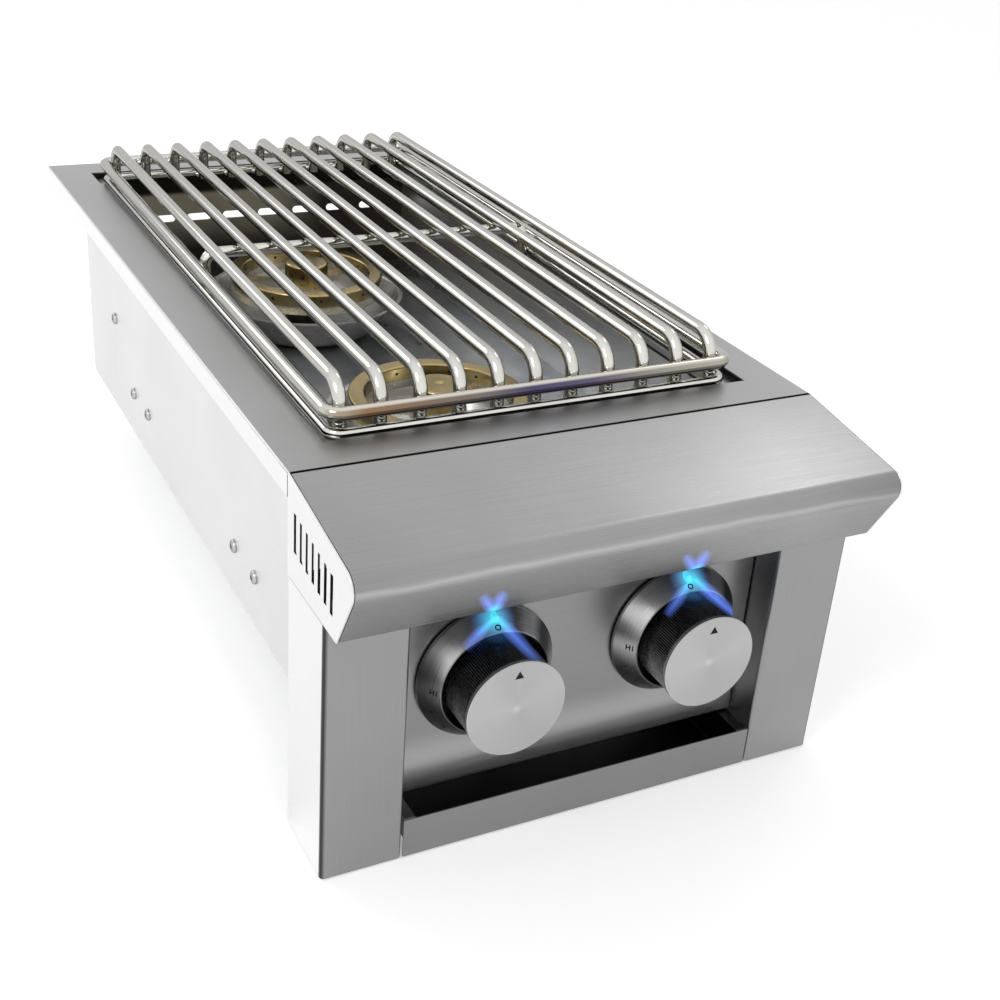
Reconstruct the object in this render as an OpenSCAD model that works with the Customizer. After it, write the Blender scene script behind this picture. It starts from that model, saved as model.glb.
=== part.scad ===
// Built-in double side burner for an outdoor kitchen counter.
// Two brass burners stand one behind the other in a steel well, under one lift-off wire grate.
// The flange rests on the counter, and the fascia with both knobs hangs in front of the cabinet.
// Origin: middle of the counter's front top edge. X runs right, Y back and Z up.

/* [Flange and well] */
// Width over the flange and the fascia
unit_w = 330; // [322:1:350]
// Depth of the flange, from the seam with the nose to the back edge
flange_d = 585; // [575:1:640]
// Width of the flange's rim round the well
flange_w = 28.5; // [27:0.5:30]
// Height of the flange's top above the counter
lip_h = 14; // [12:0.5:16]
// Width of the turned-in foot that rests on the counter
foot_w = 10; // [6:0.5:14]
// Depth of the well's turned-down lip, below the flange's top
well_lip_h = 20; // [16:0.5:24]
// Thickness of the sheet steel
sheet = 1.2; // [1:0.1:1.5]

/* [Housing] */
// How far the housing's walls stand outside the well's edge
body_out = 5.5; // [4.5:0.1:6]
// Room between the knobs' axes and the housing's bottom
body_room = 50; // [47:0.5:56]
// Width of the housing's turned-in bottom flanges
body_flange = 12; // [8:1:18]
// Height of the well's floor above the knobs' axes
floor_up = 25; // [23:0.5:27]
// Height of the floor's side flanges
floor_flange = 12; // [9:0.5:14]
// Radius of the drain hole in the floor
drain_r = 12; // [6:0.5:18]
// Distance of the drain holes from the housing's front wall
drain_in = 36; // [28:0.5:44]
// Count of the vent slots in the back wall
vent_count = 8; // [4:1:8]
// Distance of the outermost vent slots' centres from the housing's sides
vent_in = 32.5; // [28:0.5:40]
// Width of one vent slot
vent_w = 21; // [12:0.5:23]
// Height of one vent slot
vent_h = 6; // [3:0.5:9]
// Depth of the vent slots' centre line below the counter
vent_depth = 30; // [20:0.5:45]

/* [Nose] */
// Reach of the nose's sharp front corner, before it is rounded
nose_reach = 96; // [90:0.5:102]
// Fall of the nose from the seam to that corner
nose_fall = 14.5; // [12:0.5:17]
// Radius of the nose's rounded front
nose_r = 10; // [6:0.5:11]
// Reach of the nose's lower edge
nose_heel_reach = 70.5; // [66:0.5:76]
// Depth of the nose's lower edge below the counter
nose_depth = 45.5; // [42:0.5:50]
// Seam between the nose and the flange, and round the end caps
seam = 0.3; // [0.2:0.05:0.5]
// Count of the vent slots in each end cap
cap_slot_count = 7; // [3:1:7]
// Spacing of the end cap's slots
cap_slot_pitch = 8.6; // [6:0.1:8.8]
// Width of one slot in the end cap
cap_slot_w = 3.6; // [1.5:0.1:4.2]
// Length of one slot in the end cap
cap_slot_l = 22.7; // [15:0.1:25]
// Distance of the rearmost slot from the end cap's back edge
cap_slot_in = 12; // [8:0.5:14]
// Depth of the rearmost slot's top below the counter
cap_slot_depth = 4.1; // [3:0.1:5]
// Fall of each slot's top from the one behind it
cap_slot_step = 1.02; // [0.6:0.02:1.4]

/* [Fascia] */
// Drop of the fascia's bottom edge below the housing's bottom
fascia_drop = 50.5; // [47:0.5:55]
// How far the fascia stands in front of the cabinet
fascia_reach = 55; // [52:0.5:58]
// Width of each side post of the fascia
post_w = 48; // [46:0.5:49]
// Outer bend radius on the posts' corners
post_r = 2.5; // [1.5:0.1:4]
// Depth of each post's inner return, from the post's front
post_return = 40; // [36:0.5:42]
// How far the control panel lies behind the posts' front
panel_recess = 21.5; // [18:0.5:24]
// Gap between the control panel's bottom edge and the tray's top
panel_gap = 1; // [0.5:0.1:4]
// Depth of the control panel's top edge below the counter
panel_top_depth = 20; // [12:0.5:40]
// Width of the control panel's turned-back edges
panel_flange = 14; // [8:0.5:16]

/* [Drip tray] */
// Height of the tray's front, up from the fascia's bottom edge
tray_h = 25.5; // [24:0.5:26]
// Depth of the tray from front to back
tray_d = 140; // [130:1:150]
// Thickness of the tray's sheet
tray_sheet = 1.2; // [0.8:0.1:1.4]
// Width of the rims that ride on the runners
tray_rim_w = 6.5; // [5:0.5:8]
// Gap between the tray's front and the posts on each side
tray_side_gap = 0.8; // [0.5:0.1:1.2]
// Running gap between the tray's rims and the runners
tray_run_gap = 0.3; // [0.2:0.05:0.4]

/* [Grate] */
// Gap between the well's edge and the centre line of the grate's upper ring
grate_in = 8; // [7:0.25:9]
// Diameter of the upper ring's wire
upper_wire = 8; // [7:0.25:8.5]
// Height of the upper ring's centre line above the counter
upper_ring_z = 24.4; // [23.5:0.1:25]
// Diameter of the lower ring's wire
lower_wire = 6; // [5:0.25:6.5]
// Height of the lower ring's centre line above the counter
lower_ring_z = 12.2; // [11.6:0.1:13]
// Radius of the rings' corners, along the centre line
ring_corner_r = 9; // [8.5:0.25:10]
// Diameter of the pan rods
rod_wire = 8; // [6:0.25:9]
// Count of the pan rods
rod_count = 11; // [7:1:11]
// Distance of the outermost pan rods from the upper ring's sides, between centre lines
rod_side_in = 8.5; // [8.3:0.1:12]
// Height of the pan rods' centre line above the counter
rod_z = 38.5; // [37:0.5:42]
// Bend radius at the ends of the pan rods
rod_bend_r = 14; // [10:0.5:14]
// Diameter of the cross rod's wire
cross_wire = 8; // [6:0.25:8]
// Bend radius at the ends of the cross rod
cross_bend_r = 8; // [6:0.5:9]

/* [Burners] */
// Distance of the front burner's centre from the nose seam
front_burner_y = 171; // [166:0.5:176]
// Spacing of the two burners
burner_pitch = 254; // [250:0.5:262]
// Outer radius of the brass ring
ring_r = 60; // [57:0.5:62]
// Inner radius of the brass ring
ring_bore_r = 49; // [47:0.5:51]
// Height of the brass ring
ring_h = 10; // [8:0.5:12]
// Height of the brass ring's top above the well's floor
ring_up = 48; // [46:0.5:50]
// Wall of the brass ring and the brass cap
brass_wall = 2; // [1.5:0.1:2.5]
// Count of the ports round the ring's outer wall
outer_ports = 20; // [12:1:28]
// Count of the ports round the ring's inner wall
inner_ports = 16; // [8:1:20]
// Radius of a port
port_r = 1.1; // [0.6:0.1:1.5]
// Radius of the centre cap
cap_r = 17; // [16:0.5:19]
// Rise of the centre cap's top above the ring's top
cap_rise = 7; // [5:0.5:9]
// Count of the ports round the centre cap
cap_ports = 12; // [6:1:16]
// Radius of the dimple in the middle of the cap
cap_dimple_r = 3.5; // [2:0.5:5]
// Outer radius of the riser under the burner
riser_r = 16.5; // [16:0.25:17.5]
// Bore of the riser, as a radius
riser_bore_r = 12.3; // [12:0.1:13]
// Outer radius of the reflector dish's rim
dish_r = 77; // [72:0.5:80]
// Height of the dish's rim above the well's floor
dish_up = 30; // [26:0.5:32]
// Radius of the dish's flat bottom
dish_flat_r = 52; // [48:0.5:56]
// Thickness of the dish
dish_sheet = 0.8; // [0.6:0.1:1]
// Radius of the electrode's place, from the burner's centre
electrode_at_r = 33; // [30:0.5:35]
// Radius of the electrode's ceramic body
electrode_r = 3.2; // [2.5:0.1:3.5]

/* [Gas line] */
// Share of the free width beside each bezel that lies towards the middle
knob_place_share = 0.606; // [0.4:0.002:0.8]
// Depth of the knobs' axes below the counter
knob_depth = 109; // [106:0.5:112]
// Outer radius of the venturi tubes
tube_r = 12.5; // [11.5:0.25:13]
// Wall of the venturi tubes
tube_wall = 1.2; // [0.8:0.1:1.5]
// Straight run at the tubes' mouths
tube_mouth = 32; // [26:0.5:36]
// Radius of the manifold pipe
manifold_r = 8; // [7:0.5:9]
// Drop of the manifold's axis below the knobs' axes
manifold_drop = 34; // [32:0.5:36]
// Radius of the supply pipe
supply_r = 6; // [5:0.5:6.5]
// Distance of the supply pipe's axis from the housing's side
supply_in = 24; // [20:0.5:30]
// Radius of the male flare on the gas inlet
flare_r = 7.94; // [6:0.01:9]
// Length of the flare's round part
flare_l = 14; // [8:0.5:20]

/* [Knobs] */
// Radius of the knob's grip
knob_r = 28.5; // [26:0.5:29]
// Radius of the knob's face disc
face_r = 29.7; // [29:0.1:30.5]
// Distance of the knob's face from the cabinet's front
face_reach = 74; // [72:0.5:78]
// Thickness of the knob's face disc
face_t = 2.4; // [2:0.1:3]
// Dark gap between the face disc and the grip
face_gap = 0.8; // [0.5:0.1:1.2]
// Outer radius of the bezel's base
bezel_r = 42; // [40:0.5:44]
// Radius of the bezel's front rim
bezel_rim_r = 33; // [32.5:0.25:34]
// Height of the bezel above the control panel
bezel_h = 15; // [13:0.5:16]
// Straight edge at the foot of the bezel
bezel_edge = 3; // [2:0.25:4]
// Radius of the bezel's bore
bezel_bore_r = 32; // [31.5:0.25:32.25]
// Travel when a knob is pushed
push_travel = 3; // [1:0.25:3.5]
// Radius of the valve stems
stem_r = 3.175; // [2.5:0.025:3.5]
// Flat on the stem, as its distance from the axis
stem_flat = 2.4; // [1.5:0.1:2.45]
// Radius of the light lens in the bezel
lens_r = 2; // [1.5:0.1:2.5]
// Height of the light lens above the knob's axis
lens_up = 38.5; // [37.5:0.25:39]

/* [Fits] */
// Gap where two plain pieces meet
seat_gap = 0.1; // [0.05:0.01:0.2]
// Gap at a weld between two wires
weld_gap = 0.05; // [0.02:0.01:0.1]
// Radial running gap of the stems and sockets
run_gap = 0.05; // [0.02:0.01:0.08]
// Gap under the grate, above its rests
grate_seat_gap = 0.3; // [0.2:0.05:0.4]

/* [Hidden] */
$fn = 48;
// Overrun of every cut
over = 2;
// Steps along a bent corner
bend_steps = 6;

// Places worked out from the sizes above
well_w = unit_w - 2 * flange_w;
well_d = flange_d - 2 * flange_w;
well_back = flange_w + well_d;
body_half = well_w / 2 + body_out;
body_depth = knob_depth + body_room;
floor_depth = knob_depth - floor_up;
fascia_depth = body_depth + fascia_drop;
body_front = flange_w - body_out;
body_back = well_back + body_out;
body_in = body_half - sheet - seat_gap;
inner_front = body_front + sheet + seat_gap;
inner_back = body_back - sheet - seat_gap;
roof_z = lip_h - sheet - seat_gap;
inner_bottom = sheet + seat_gap - body_depth;
post_x = unit_w / 2 - post_w;
panel_y = panel_recess - fascia_reach;
knob_x = bezel_r + (post_x - 2 * bezel_r) * knob_place_share;
knob_z = -knob_depth;
rear_burner_y = front_burner_y + burner_pitch;
drain_y = body_front + drain_in;
manifold_z = knob_z - manifold_drop;
supply_x = body_half - supply_in;
vent_pitch = 2 * (body_half - vent_in) / (vent_count - 1);

// How far the housing's side walls reach forward into the fascia
wall_fore = 12;
wall_notch_gap = 0.5;
// Gap between each post's rear flange and the housing's wall
post_rear_gap = 0.1;

// Screws through the housing's side walls
screw_drop = 14;
screw_depth = knob_depth + screw_drop;
screw_shank_r = 2.4;
screw_shank_l = 5;
screw_head_r = 4.5;
screw_head_h = 2.4;
screw_hole_gap = 0.15;
bracket_screw_back = 4;
bracket_screw_pitch = 41.5;
floor_screw_up = 4;
floor_screw_depth = floor_depth - floor_screw_up;
floor_screw_in = 89;

// Support brackets under the burners
bracket_drop = 7;
bracket_edge = 11;
bracket_flange_h = 16;
foot_r = 9;

// Rest ledges of the grate
rest_ledge_w = 13;
rest_leg_h = 12;
rest_clear = 0.5;

// Tray runners
runner_web_gap = 0.7;
runner_side_in = 3.1;
runner_ledge_w = 6.5;
runner_fore = 2;

// Burner head
base_wall = 2.5;
base_pan_h = 6;
arm_count = 3;
arm_w = 11;
arm_turn = 270;
dish_bend_r = 17.3;
dish_lip_r = 1.5;
dish_bore_gap = 1.5;
floor_bore_gap = 3;
electrode_tip_r = 1;
electrode_tip_l = 9;
electrode_collar_r = 5.5;
electrode_collar_h = 2.5;
electrode_tail = 24;
electrode_hole_gap = 0.6;
electrode_turn = 90;
electrode_top_gap = 1;

// Venturi tubes, shutters and orifices
socket_l = 20;
socket_wall = 2.5;
socket_gap = 4;
elbow_swell = 0.8;
arm_inset = 0.6;
mouth_gap = 3;
shutter_wall = 1.2;
shutter_l = 15;
window_l = 9;
window_w = 11;
window_over = 4;
orifice_r = 4.5;
orifice_l = 8;
orifice_jet_r = 0.6;
shield_hole_gap = 2.5;

// Valves and stems
valve_w = 26;
valve_h = 28;
valve_front = -14;
valve_l = 28;
valve_nose_r = 9;
valve_nose_l = 4;
valve_out_r = 7;
valve_out_l = 5.5;
valve_leg_r = 5.5;
stem_tail = 18;
stem_bore_extra = 6;
seat_washer_r = 8;
seat_washer_t = 1.5;
seat_washer_ahead = 6;
manifold_y = 5;
manifold_end = 14;
boss_r = 7.5;
boss_rise = 10;
elbow_l = 13;
pipe_wall = 1;
pipe_stop = 2;
inlet_body_r = 13;
inlet_body_l = 12;
collar_l = 7;
flare_bore_r = 4.5;
flare_cone = 4;
flare_tip_r = 5.4;
panel_hole_r = 9;
bezel_floor = 1.5;
bezel_hole_r = 8;

// Knobs
knob_back_gap = 0.7;
knob_wall = 2.5;
knob_front_wall = 4;
knob_boss_r = 7;
knob_boss_short = 3;
face_spigot_r = 18;
face_spigot_l = 2;
marker_up = 21;
marker_side = 5;
marker_depth = 0.4;

steel = [0.74, 0.75, 0.76];
inner_steel = [0.6, 0.61, 0.63];
wire_steel = [0.85, 0.86, 0.87];
brass = [0.78, 0.62, 0.28];
cast = [0.35, 0.35, 0.36];
black = [0.09, 0.09, 0.1];
glow = [0.35, 0.75, 1];
ceramic = [0.92, 0.9, 0.85];

// Box given by its lowest and highest corner
module block(lo, hi) {
    translate(lo)
        cube(hi - lo);
}

// Round bar between two points
module bar(p, q, r) {
    v = q - p;
    translate(p)
        rotate([0, acos(v[2] / norm(v)), atan2(v[1], v[0])])
            cylinder(h = norm(v), r = r);
}

// Outline in Y and Z, extruded along X from x0 to x1
module across(x0, x1) {
    translate([x0, 0, 0])
        rotate([90, 0, 90])
            linear_extrude(height = x1 - x0)
                children();
}

// Outline in X and Z, extruded along Y from y0 to y1
module along(y0, y1) {
    translate([0, y1, 0])
        rotate([90, 0, 0])
            linear_extrude(height = y1 - y0)
                children();
}

module left_copy() {
    mirror([1, 0, 0])
        children();
}

// Folded sheet: corner points of one side, a bend radius at each, and the sheet lies to the left
function unit(v) = v / norm(v);
function left_of(v) = [-v[1], v[0]];
function cross_z(a, b) = a[0] * b[1] - a[1] * b[0];
function mitre(a, b, c) =
    let (m = left_of(unit(b - a)), n = left_of(unit(c - b)))
    (m + n) / (1 + m * n);
function beside(path, t) = [
    for (i = [0 : len(path) - 1])
        i == 0 ? path[0] + t * left_of(unit(path[1] - path[0]))
        : i == len(path) - 1 ? path[i] + t * left_of(unit(path[i] - path[i - 1]))
        : path[i] + t * mitre(path[i - 1], path[i], path[i + 1])
];
function corner_arc(a, b, c, r) =
    let (
        u = unit(a - b), w = unit(c - b), half = acos(u * w) / 2,
        mid = b + unit(u + w) * r / sin(half),
        p = b + u * r / tan(half) - mid, q = b + w * r / tan(half) - mid,
        start = atan2(p[1], p[0]), turn = (atan2(q[1], q[0]) - start + 540) % 360 - 180
    )
    [for (i = [0 : bend_steps]) let (at = start + turn * i / bend_steps) mid + r * [cos(at), sin(at)]];
function folded(path, radii) = [
    for (i = [0 : len(path) - 1])
        each radii[i] <= 0 ? [path[i]] : corner_arc(path[i - 1], path[i], path[i + 1], radii[i])
];
function inner_radii(path, radii, t) = [
    for (i = [0 : len(path) - 1])
        radii[i] <= 0 ? 0
        : radii[i] - t * sign(cross_z(path[i] - path[i - 1], path[i + 1] - path[i]))
];
function reversed(list) = [for (i = [len(list) - 1 : -1 : 0]) list[i]];
function sheet_outline(path, radii, t) =
    concat(folded(path, radii), reversed(folded(beside(path, t), inner_radii(path, radii, t))));

// Slot with round ends, cut along Y
module slot_y(x, y, z, w, h, depth) {
    r = h / 2;
    for (side = [-1, 1])
        bar([x + side * (w / 2 - r), y, z], [x + side * (w / 2 - r), y + depth, z], r);
    block([x - w / 2 + r, y, z - r], [x + w / 2 - r, y + depth, z + r]);
}

// Flange, its outer lip with feet and notches for the housing's sides, and the lip of the well
module top_frame() {
    half = unit_w / 2;
    well_half = well_w / 2;
    color(steel) {
        difference() {
            block([-half, 0, 0], [half, flange_d, lip_h]);
            block([-half + sheet, sheet, sheet], [half - sheet, flange_d - sheet, lip_h - sheet]);
            block([-half + foot_w, sheet, -over], [half - foot_w, flange_d - foot_w, sheet + over]);
            for (m = [0, 1])
                mirror([m, 0, 0])
                    block([body_half - sheet - wall_notch_gap, -over, -over],
                        [body_half + wall_notch_gap, sheet + over, sheet]);
            block([-well_half, flange_w, 0], [well_half, well_back, lip_h + over]);
        }
        difference() {
            block([-well_half - sheet, flange_w - sheet, lip_h - well_lip_h],
                [well_half + sheet, well_back + sheet, lip_h]);
            block([-well_half, flange_w, lip_h - well_lip_h - over], [well_half, well_back, lip_h + over]);
        }
    }
}

// Housing walls
function bracket_screws(burner_y) =
    [for (i = [0, 1]) [burner_y - bracket_screw_back - i * bracket_screw_pitch, -screw_depth]];
wall_screws = concat(
    bracket_screws(front_burner_y), bracket_screws(rear_burner_y),
    [[body_back - floor_screw_in, -floor_screw_depth]]
);

module side_panel() {
    step_y = sheet + seat_gap;
    color(steel)
        difference() {
            union() {
                across(body_half - sheet, body_half)
                    polygon([
                        [-wall_fore, -body_depth], [body_back, -body_depth], [body_back, roof_z],
                        [step_y, roof_z], [step_y, -seat_gap], [-wall_fore, -seat_gap]
                    ]);
                block([body_half - body_flange, body_front, -body_depth],
                    [body_half, inner_back, sheet - body_depth]);
            }
            for (s = wall_screws)
                bar([body_half - sheet - over, s[0], s[1]], [body_half + over, s[0], s[1]],
                    screw_shank_r + screw_hole_gap);
        }
}

module right_side_panel() {
    side_panel();
}

module left_side_panel() {
    left_copy()
        side_panel();
}

module side_screws() {
    color(inner_steel)
        for (m = [0, 1])
            mirror([m, 0, 0])
                for (s = wall_screws) {
                    bar([body_half + seat_gap - screw_shank_l, s[0], s[1]],
                        [body_half + seat_gap + screw_head_h / 2, s[0], s[1]], screw_shank_r);
                    bar([body_half + seat_gap, s[0], s[1]],
                        [body_half + seat_gap + screw_head_h, s[0], s[1]], screw_head_r);
                }
}

module back_panel() {
    color(inner_steel)
        difference() {
            block([-body_in, body_back - sheet, inner_bottom], [body_in, body_back, roof_z]);
            for (i = [0 : vent_count - 1])
                slot_y((i - (vent_count - 1) / 2) * vent_pitch, body_back - sheet - over, -vent_depth,
                    vent_w, vent_h, sheet + 2 * over);
            bar([supply_x, body_back - sheet - over, manifold_z], [supply_x, body_back + over, manifold_z],
                flare_r + shield_hole_gap);
        }
}

module front_heat_shield() {
    color(inner_steel)
        difference() {
            block([-body_in, body_front, inner_bottom], [body_in, body_front + sheet, roof_z]);
            for (side = [-1, 1])
                bar([side * knob_x, body_front - over, knob_z],
                    [side * knob_x, body_front + sheet + over, knob_z], tube_r + shield_hole_gap);
            bar([supply_x, body_front - over, manifold_z], [supply_x, body_front + sheet + over, manifold_z],
                supply_r + shield_hole_gap);
        }
}

// Place of the electrode beside each burner
function electrode_xy(burner_y) =
    [electrode_at_r * cos(electrode_turn), burner_y + electrode_at_r * sin(electrode_turn)];

module floor_pan() {
    color(inner_steel)
        difference() {
            union() {
                block([-body_in, inner_front, -floor_depth - sheet], [body_in, inner_back, -floor_depth]);
                for (m = [0, 1])
                    mirror([m, 0, 0])
                        block([body_in - sheet, inner_front, -floor_depth - sheet],
                            [body_in, inner_back, floor_flange - floor_depth]);
            }
            for (y = [front_burner_y, rear_burner_y]) {
                translate([0, y, -floor_depth - sheet - over])
                    cylinder(h = sheet + 2 * over, r = riser_r + floor_bore_gap);
                translate([electrode_xy(y)[0], electrode_xy(y)[1], -floor_depth - sheet - over])
                    cylinder(h = sheet + 2 * over, r = electrode_r + electrode_hole_gap);
            }
            translate([0, drain_y, -floor_depth - sheet - over])
                cylinder(h = sheet + 2 * over, r = drain_r);
            for (m = [0, 1])
                mirror([m, 0, 0])
                    bar([body_in - sheet - over, body_back - floor_screw_in, -floor_screw_depth],
                        [body_in + over, body_back - floor_screw_in, -floor_screw_depth],
                        screw_shank_r + screw_hole_gap);
        }
}

module bottom_pan() {
    color(inner_steel)
        difference() {
            block([-body_in, inner_front, inner_bottom], [body_in, inner_back, inner_bottom + sheet]);
            translate([0, drain_y, inner_bottom - over])
                cylinder(h = sheet + 2 * over, r = drain_r);
        }
}

// Ledge inside the well's lip that carries the grate's lower ring
module grate_rest() {
    top = lower_ring_z - lower_wire / 2 - grate_seat_gap;
    out = well_w / 2 - seat_gap;
    color(inner_steel) {
        block([out - sheet, flange_w + rest_clear, top - rest_leg_h], [out, well_back - rest_clear, top]);
        block([out - rest_ledge_w, flange_w + rest_clear, top - sheet], [out, well_back - rest_clear, top]);
    }
}

module right_grate_rest() {
    grate_rest();
}

module left_grate_rest() {
    left_copy()
        grate_rest();
}

// Nose: outer corner points from the seam round to the panel
nose_path = [
    [-seam, sheet], [-seam, lip_h], [-nose_reach, lip_h - nose_fall],
    [-nose_heel_reach, -nose_depth], [panel_y - seam, -nose_depth]
];
nose_radii = [0, 0, nose_r, 0, 0];

module nose_cover() {
    color(steel)
        across(-unit_w / 2 + sheet + seam, unit_w / 2 - sheet - seam)
            polygon(sheet_outline(nose_path, nose_radii, sheet));
}

module end_cap() {
    outer = unit_w / 2;
    color(steel)
        difference() {
            across(outer - sheet, outer)
                polygon(concat(
                    [[-seam, lip_h]],
                    corner_arc(nose_path[1], nose_path[2], nose_path[3], nose_r),
                    [[-nose_heel_reach, -nose_depth], [-seam, -nose_depth]]
                ));
            for (i = [0 : cap_slot_count - 1]) {
                slot_top = -cap_slot_depth - i * cap_slot_step;
                y = -cap_slot_in - i * cap_slot_pitch;
                block([outer - sheet - over, y - cap_slot_w / 2, slot_top - cap_slot_l],
                    [outer + over, y + cap_slot_w / 2, slot_top]);
            }
        }
}

module right_end_cap() {
    end_cap();
}

module left_end_cap() {
    left_copy()
        end_cap();
}

// Side post of the fascia: rear flange, outer side, front and inner return in one folded sheet
module post() {
    outer = unit_w / 2;
    path = [
        [body_half + post_rear_gap, 0], [outer, 0], [outer, -fascia_reach],
        [post_x, -fascia_reach], [post_x, post_return - fascia_reach]
    ];
    color(steel)
        translate([0, 0, -fascia_depth])
            linear_extrude(height = fascia_depth - nose_depth - seam)
                polygon(sheet_outline(reversed(path), [0, post_r, post_r, post_r, 0], sheet));
}

module right_post() {
    post();
}

module left_post() {
    left_copy()
        post();
}

module control_panel() {
    half = post_x - seam;
    top = -panel_top_depth;
    bottom = tray_h - fascia_depth + panel_gap;
    back = panel_y + panel_flange;
    color(steel)
        difference() {
            block([-half, panel_y, bottom], [half, back, top]);
            block([-half + sheet, panel_y + sheet, bottom + sheet], [half - sheet, back + over, top - sheet]);
            for (side = [-1, 1])
                bar([side * knob_x, panel_y - over, knob_z], [side * knob_x, panel_y + sheet + over, knob_z],
                    panel_hole_r);
        }
}

// Drip tray and its runners
tray_half = post_x - tray_side_gap;
tray_top = tray_h - fascia_depth;
tray_wall_x = tray_half - tray_rim_w;
ledge_top = tray_top - tray_sheet - tray_run_gap;

module drip_tray() {
    front = -fascia_reach;
    back = front + tray_d;
    t = tray_sheet;
    color(steel) {
        difference() {
            block([-tray_wall_x, front, -fascia_depth], [tray_wall_x, back, tray_top]);
            block([-tray_wall_x + t, front + t, t - fascia_depth],
                [tray_wall_x - t, back - t, tray_top + over]);
        }
        block([-tray_half, front, -fascia_depth], [tray_half, front + t, tray_top]);
        for (m = [0, 1])
            mirror([m, 0, 0])
                block([tray_wall_x - t, front, tray_top - t], [tray_half, back, tray_top]);
    }
}

module tray_runner() {
    web_x = tray_half + runner_web_gap;
    start = post_return - fascia_reach + runner_fore;
    finish = tray_d - fascia_reach;
    top = -body_depth - seat_gap;
    color(inner_steel) {
        block([web_x, start, ledge_top - sheet], [web_x + sheet, finish, top]);
        block([web_x, start, top - sheet], [body_half - runner_side_in, finish, top]);
        block([web_x + sheet - runner_ledge_w, start, ledge_top - sheet], [web_x + sheet, finish, ledge_top]);
    }
}

module right_tray_runner() {
    tray_runner();
}

module left_tray_runner() {
    left_copy()
        tray_runner();
}

// Wire grate
grate_x = well_w / 2 - grate_in;
grate_front = flange_w + grate_in;
grate_back = well_back - grate_in;
grate_mid = (grate_front + grate_back) / 2;
rod_pitch = 2 * (grate_x - rod_side_in) / (rod_count - 1);

// Closed ring of round wire with rounded corners, at height z
module wire_ring(half_x, y0, y1, z, r, bend) {
    half_y = (y1 - y0) / 2;
    for (side = [-1, 1])
        bar([side * half_x, y0 + bend, z], [side * half_x, y1 - bend, z], r);
    for (y = [y0, y1])
        bar([-half_x + bend, y, z], [half_x - bend, y, z], r);
    translate([0, y0 + half_y, z])
        for (m = [0, 1], n = [0, 1])
            mirror([m, 0, 0])
                mirror([0, n, 0])
                    translate([half_x - bend, half_y - bend, 0])
                        rotate_extrude(angle = 90)
                            translate([bend, 0])
                                circle(r = r);
}

// Wire staple in the XZ plane: flat top at height z, both ends bent down to height foot
module wire_staple(half, z, foot, r, bend) {
    bar([-half + bend, 0, z], [half - bend, 0, z], r);
    for (m = [0, 1])
        mirror([m, 0, 0]) {
            bar([half, 0, foot], [half, 0, z - bend], r);
            translate([half - bend, 0, z - bend])
                rotate([90, 0, 0])
                    rotate_extrude(angle = 90)
                        translate([bend, 0])
                            circle(r = r);
        }
}

module grate_upper_ring() {
    color(wire_steel)
        wire_ring(grate_x, grate_front, grate_back, upper_ring_z, upper_wire / 2, ring_corner_r);
}

module grate_lower_ring() {
    inset = (upper_wire - lower_wire) / 2;
    color(wire_steel)
        wire_ring(grate_x - inset, grate_front + inset, grate_back - inset, lower_ring_z, lower_wire / 2,
            ring_corner_r - inset);
}

module grate_pan_rods() {
    // The end rods' legs lie inside the ring's rounded corners, and all the rods are alike
    end_in = max(0, ring_corner_r - rod_side_in);
    reach = ring_corner_r - (upper_wire + rod_wire) / 2;
    inside = sqrt(max(0, reach * reach - end_in * end_in));
    half = (grate_back - grate_front) / 2 - ring_corner_r + inside - weld_gap;
    color(wire_steel)
        for (i = [0 : rod_count - 1])
            translate([(i - (rod_count - 1) / 2) * rod_pitch, grate_mid, 0])
                rotate([0, 0, 90])
                    wire_staple(half, rod_z, lower_ring_z - lower_wire / 2, rod_wire / 2, rod_bend_r);
}

module grate_cross_rod() {
    half = grate_x - (upper_wire + cross_wire) / 2 - weld_gap;
    z = rod_z - (rod_wire + cross_wire) / 2 - weld_gap;
    color(wire_steel)
        translate([0, grate_mid, 0])
            wire_staple(half, z, lower_ring_z - lower_wire / 2, cross_wire / 2, cross_bend_r);
}

// Burners
ring_top = ring_up - floor_depth;
ring_floor = ring_top - ring_h;
base_top = ring_floor - seat_gap;
base_floor = base_top - base_pan_h;
cap_top = ring_top + cap_rise;

// Brass ring: an upside-down channel with ports in both walls
module burner_ring(y) {
    color(brass)
        translate([0, y, 0])
            difference() {
                rotate_extrude()
                    polygon([
                        [ring_bore_r, ring_floor], [ring_bore_r, ring_top - brass_wall / 2],
                        [ring_bore_r + brass_wall / 2, ring_top], [ring_r - brass_wall / 2, ring_top],
                        [ring_r, ring_top - brass_wall / 2], [ring_r, ring_floor],
                        [ring_r - brass_wall, ring_floor], [ring_r - brass_wall, ring_top - brass_wall],
                        [ring_bore_r + brass_wall, ring_top - brass_wall],
                        [ring_bore_r + brass_wall, ring_floor]
                    ]);
                for (i = [0 : outer_ports - 1])
                    rotate([0, 0, (i + 1 / 2) * 360 / outer_ports])
                        bar([ring_r - brass_wall * 3 / 2, 0, ring_top - ring_h / 2],
                            [ring_r + over, 0, ring_top - ring_h / 2], port_r);
                for (i = [0 : inner_ports - 1])
                    rotate([0, 0, (i + 1 / 2) * 360 / inner_ports])
                        bar([ring_bore_r - over, 0, ring_top - ring_h / 2],
                            [ring_bore_r + brass_wall * 3 / 2, 0, ring_top - ring_h / 2], port_r);
            }
}

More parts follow.
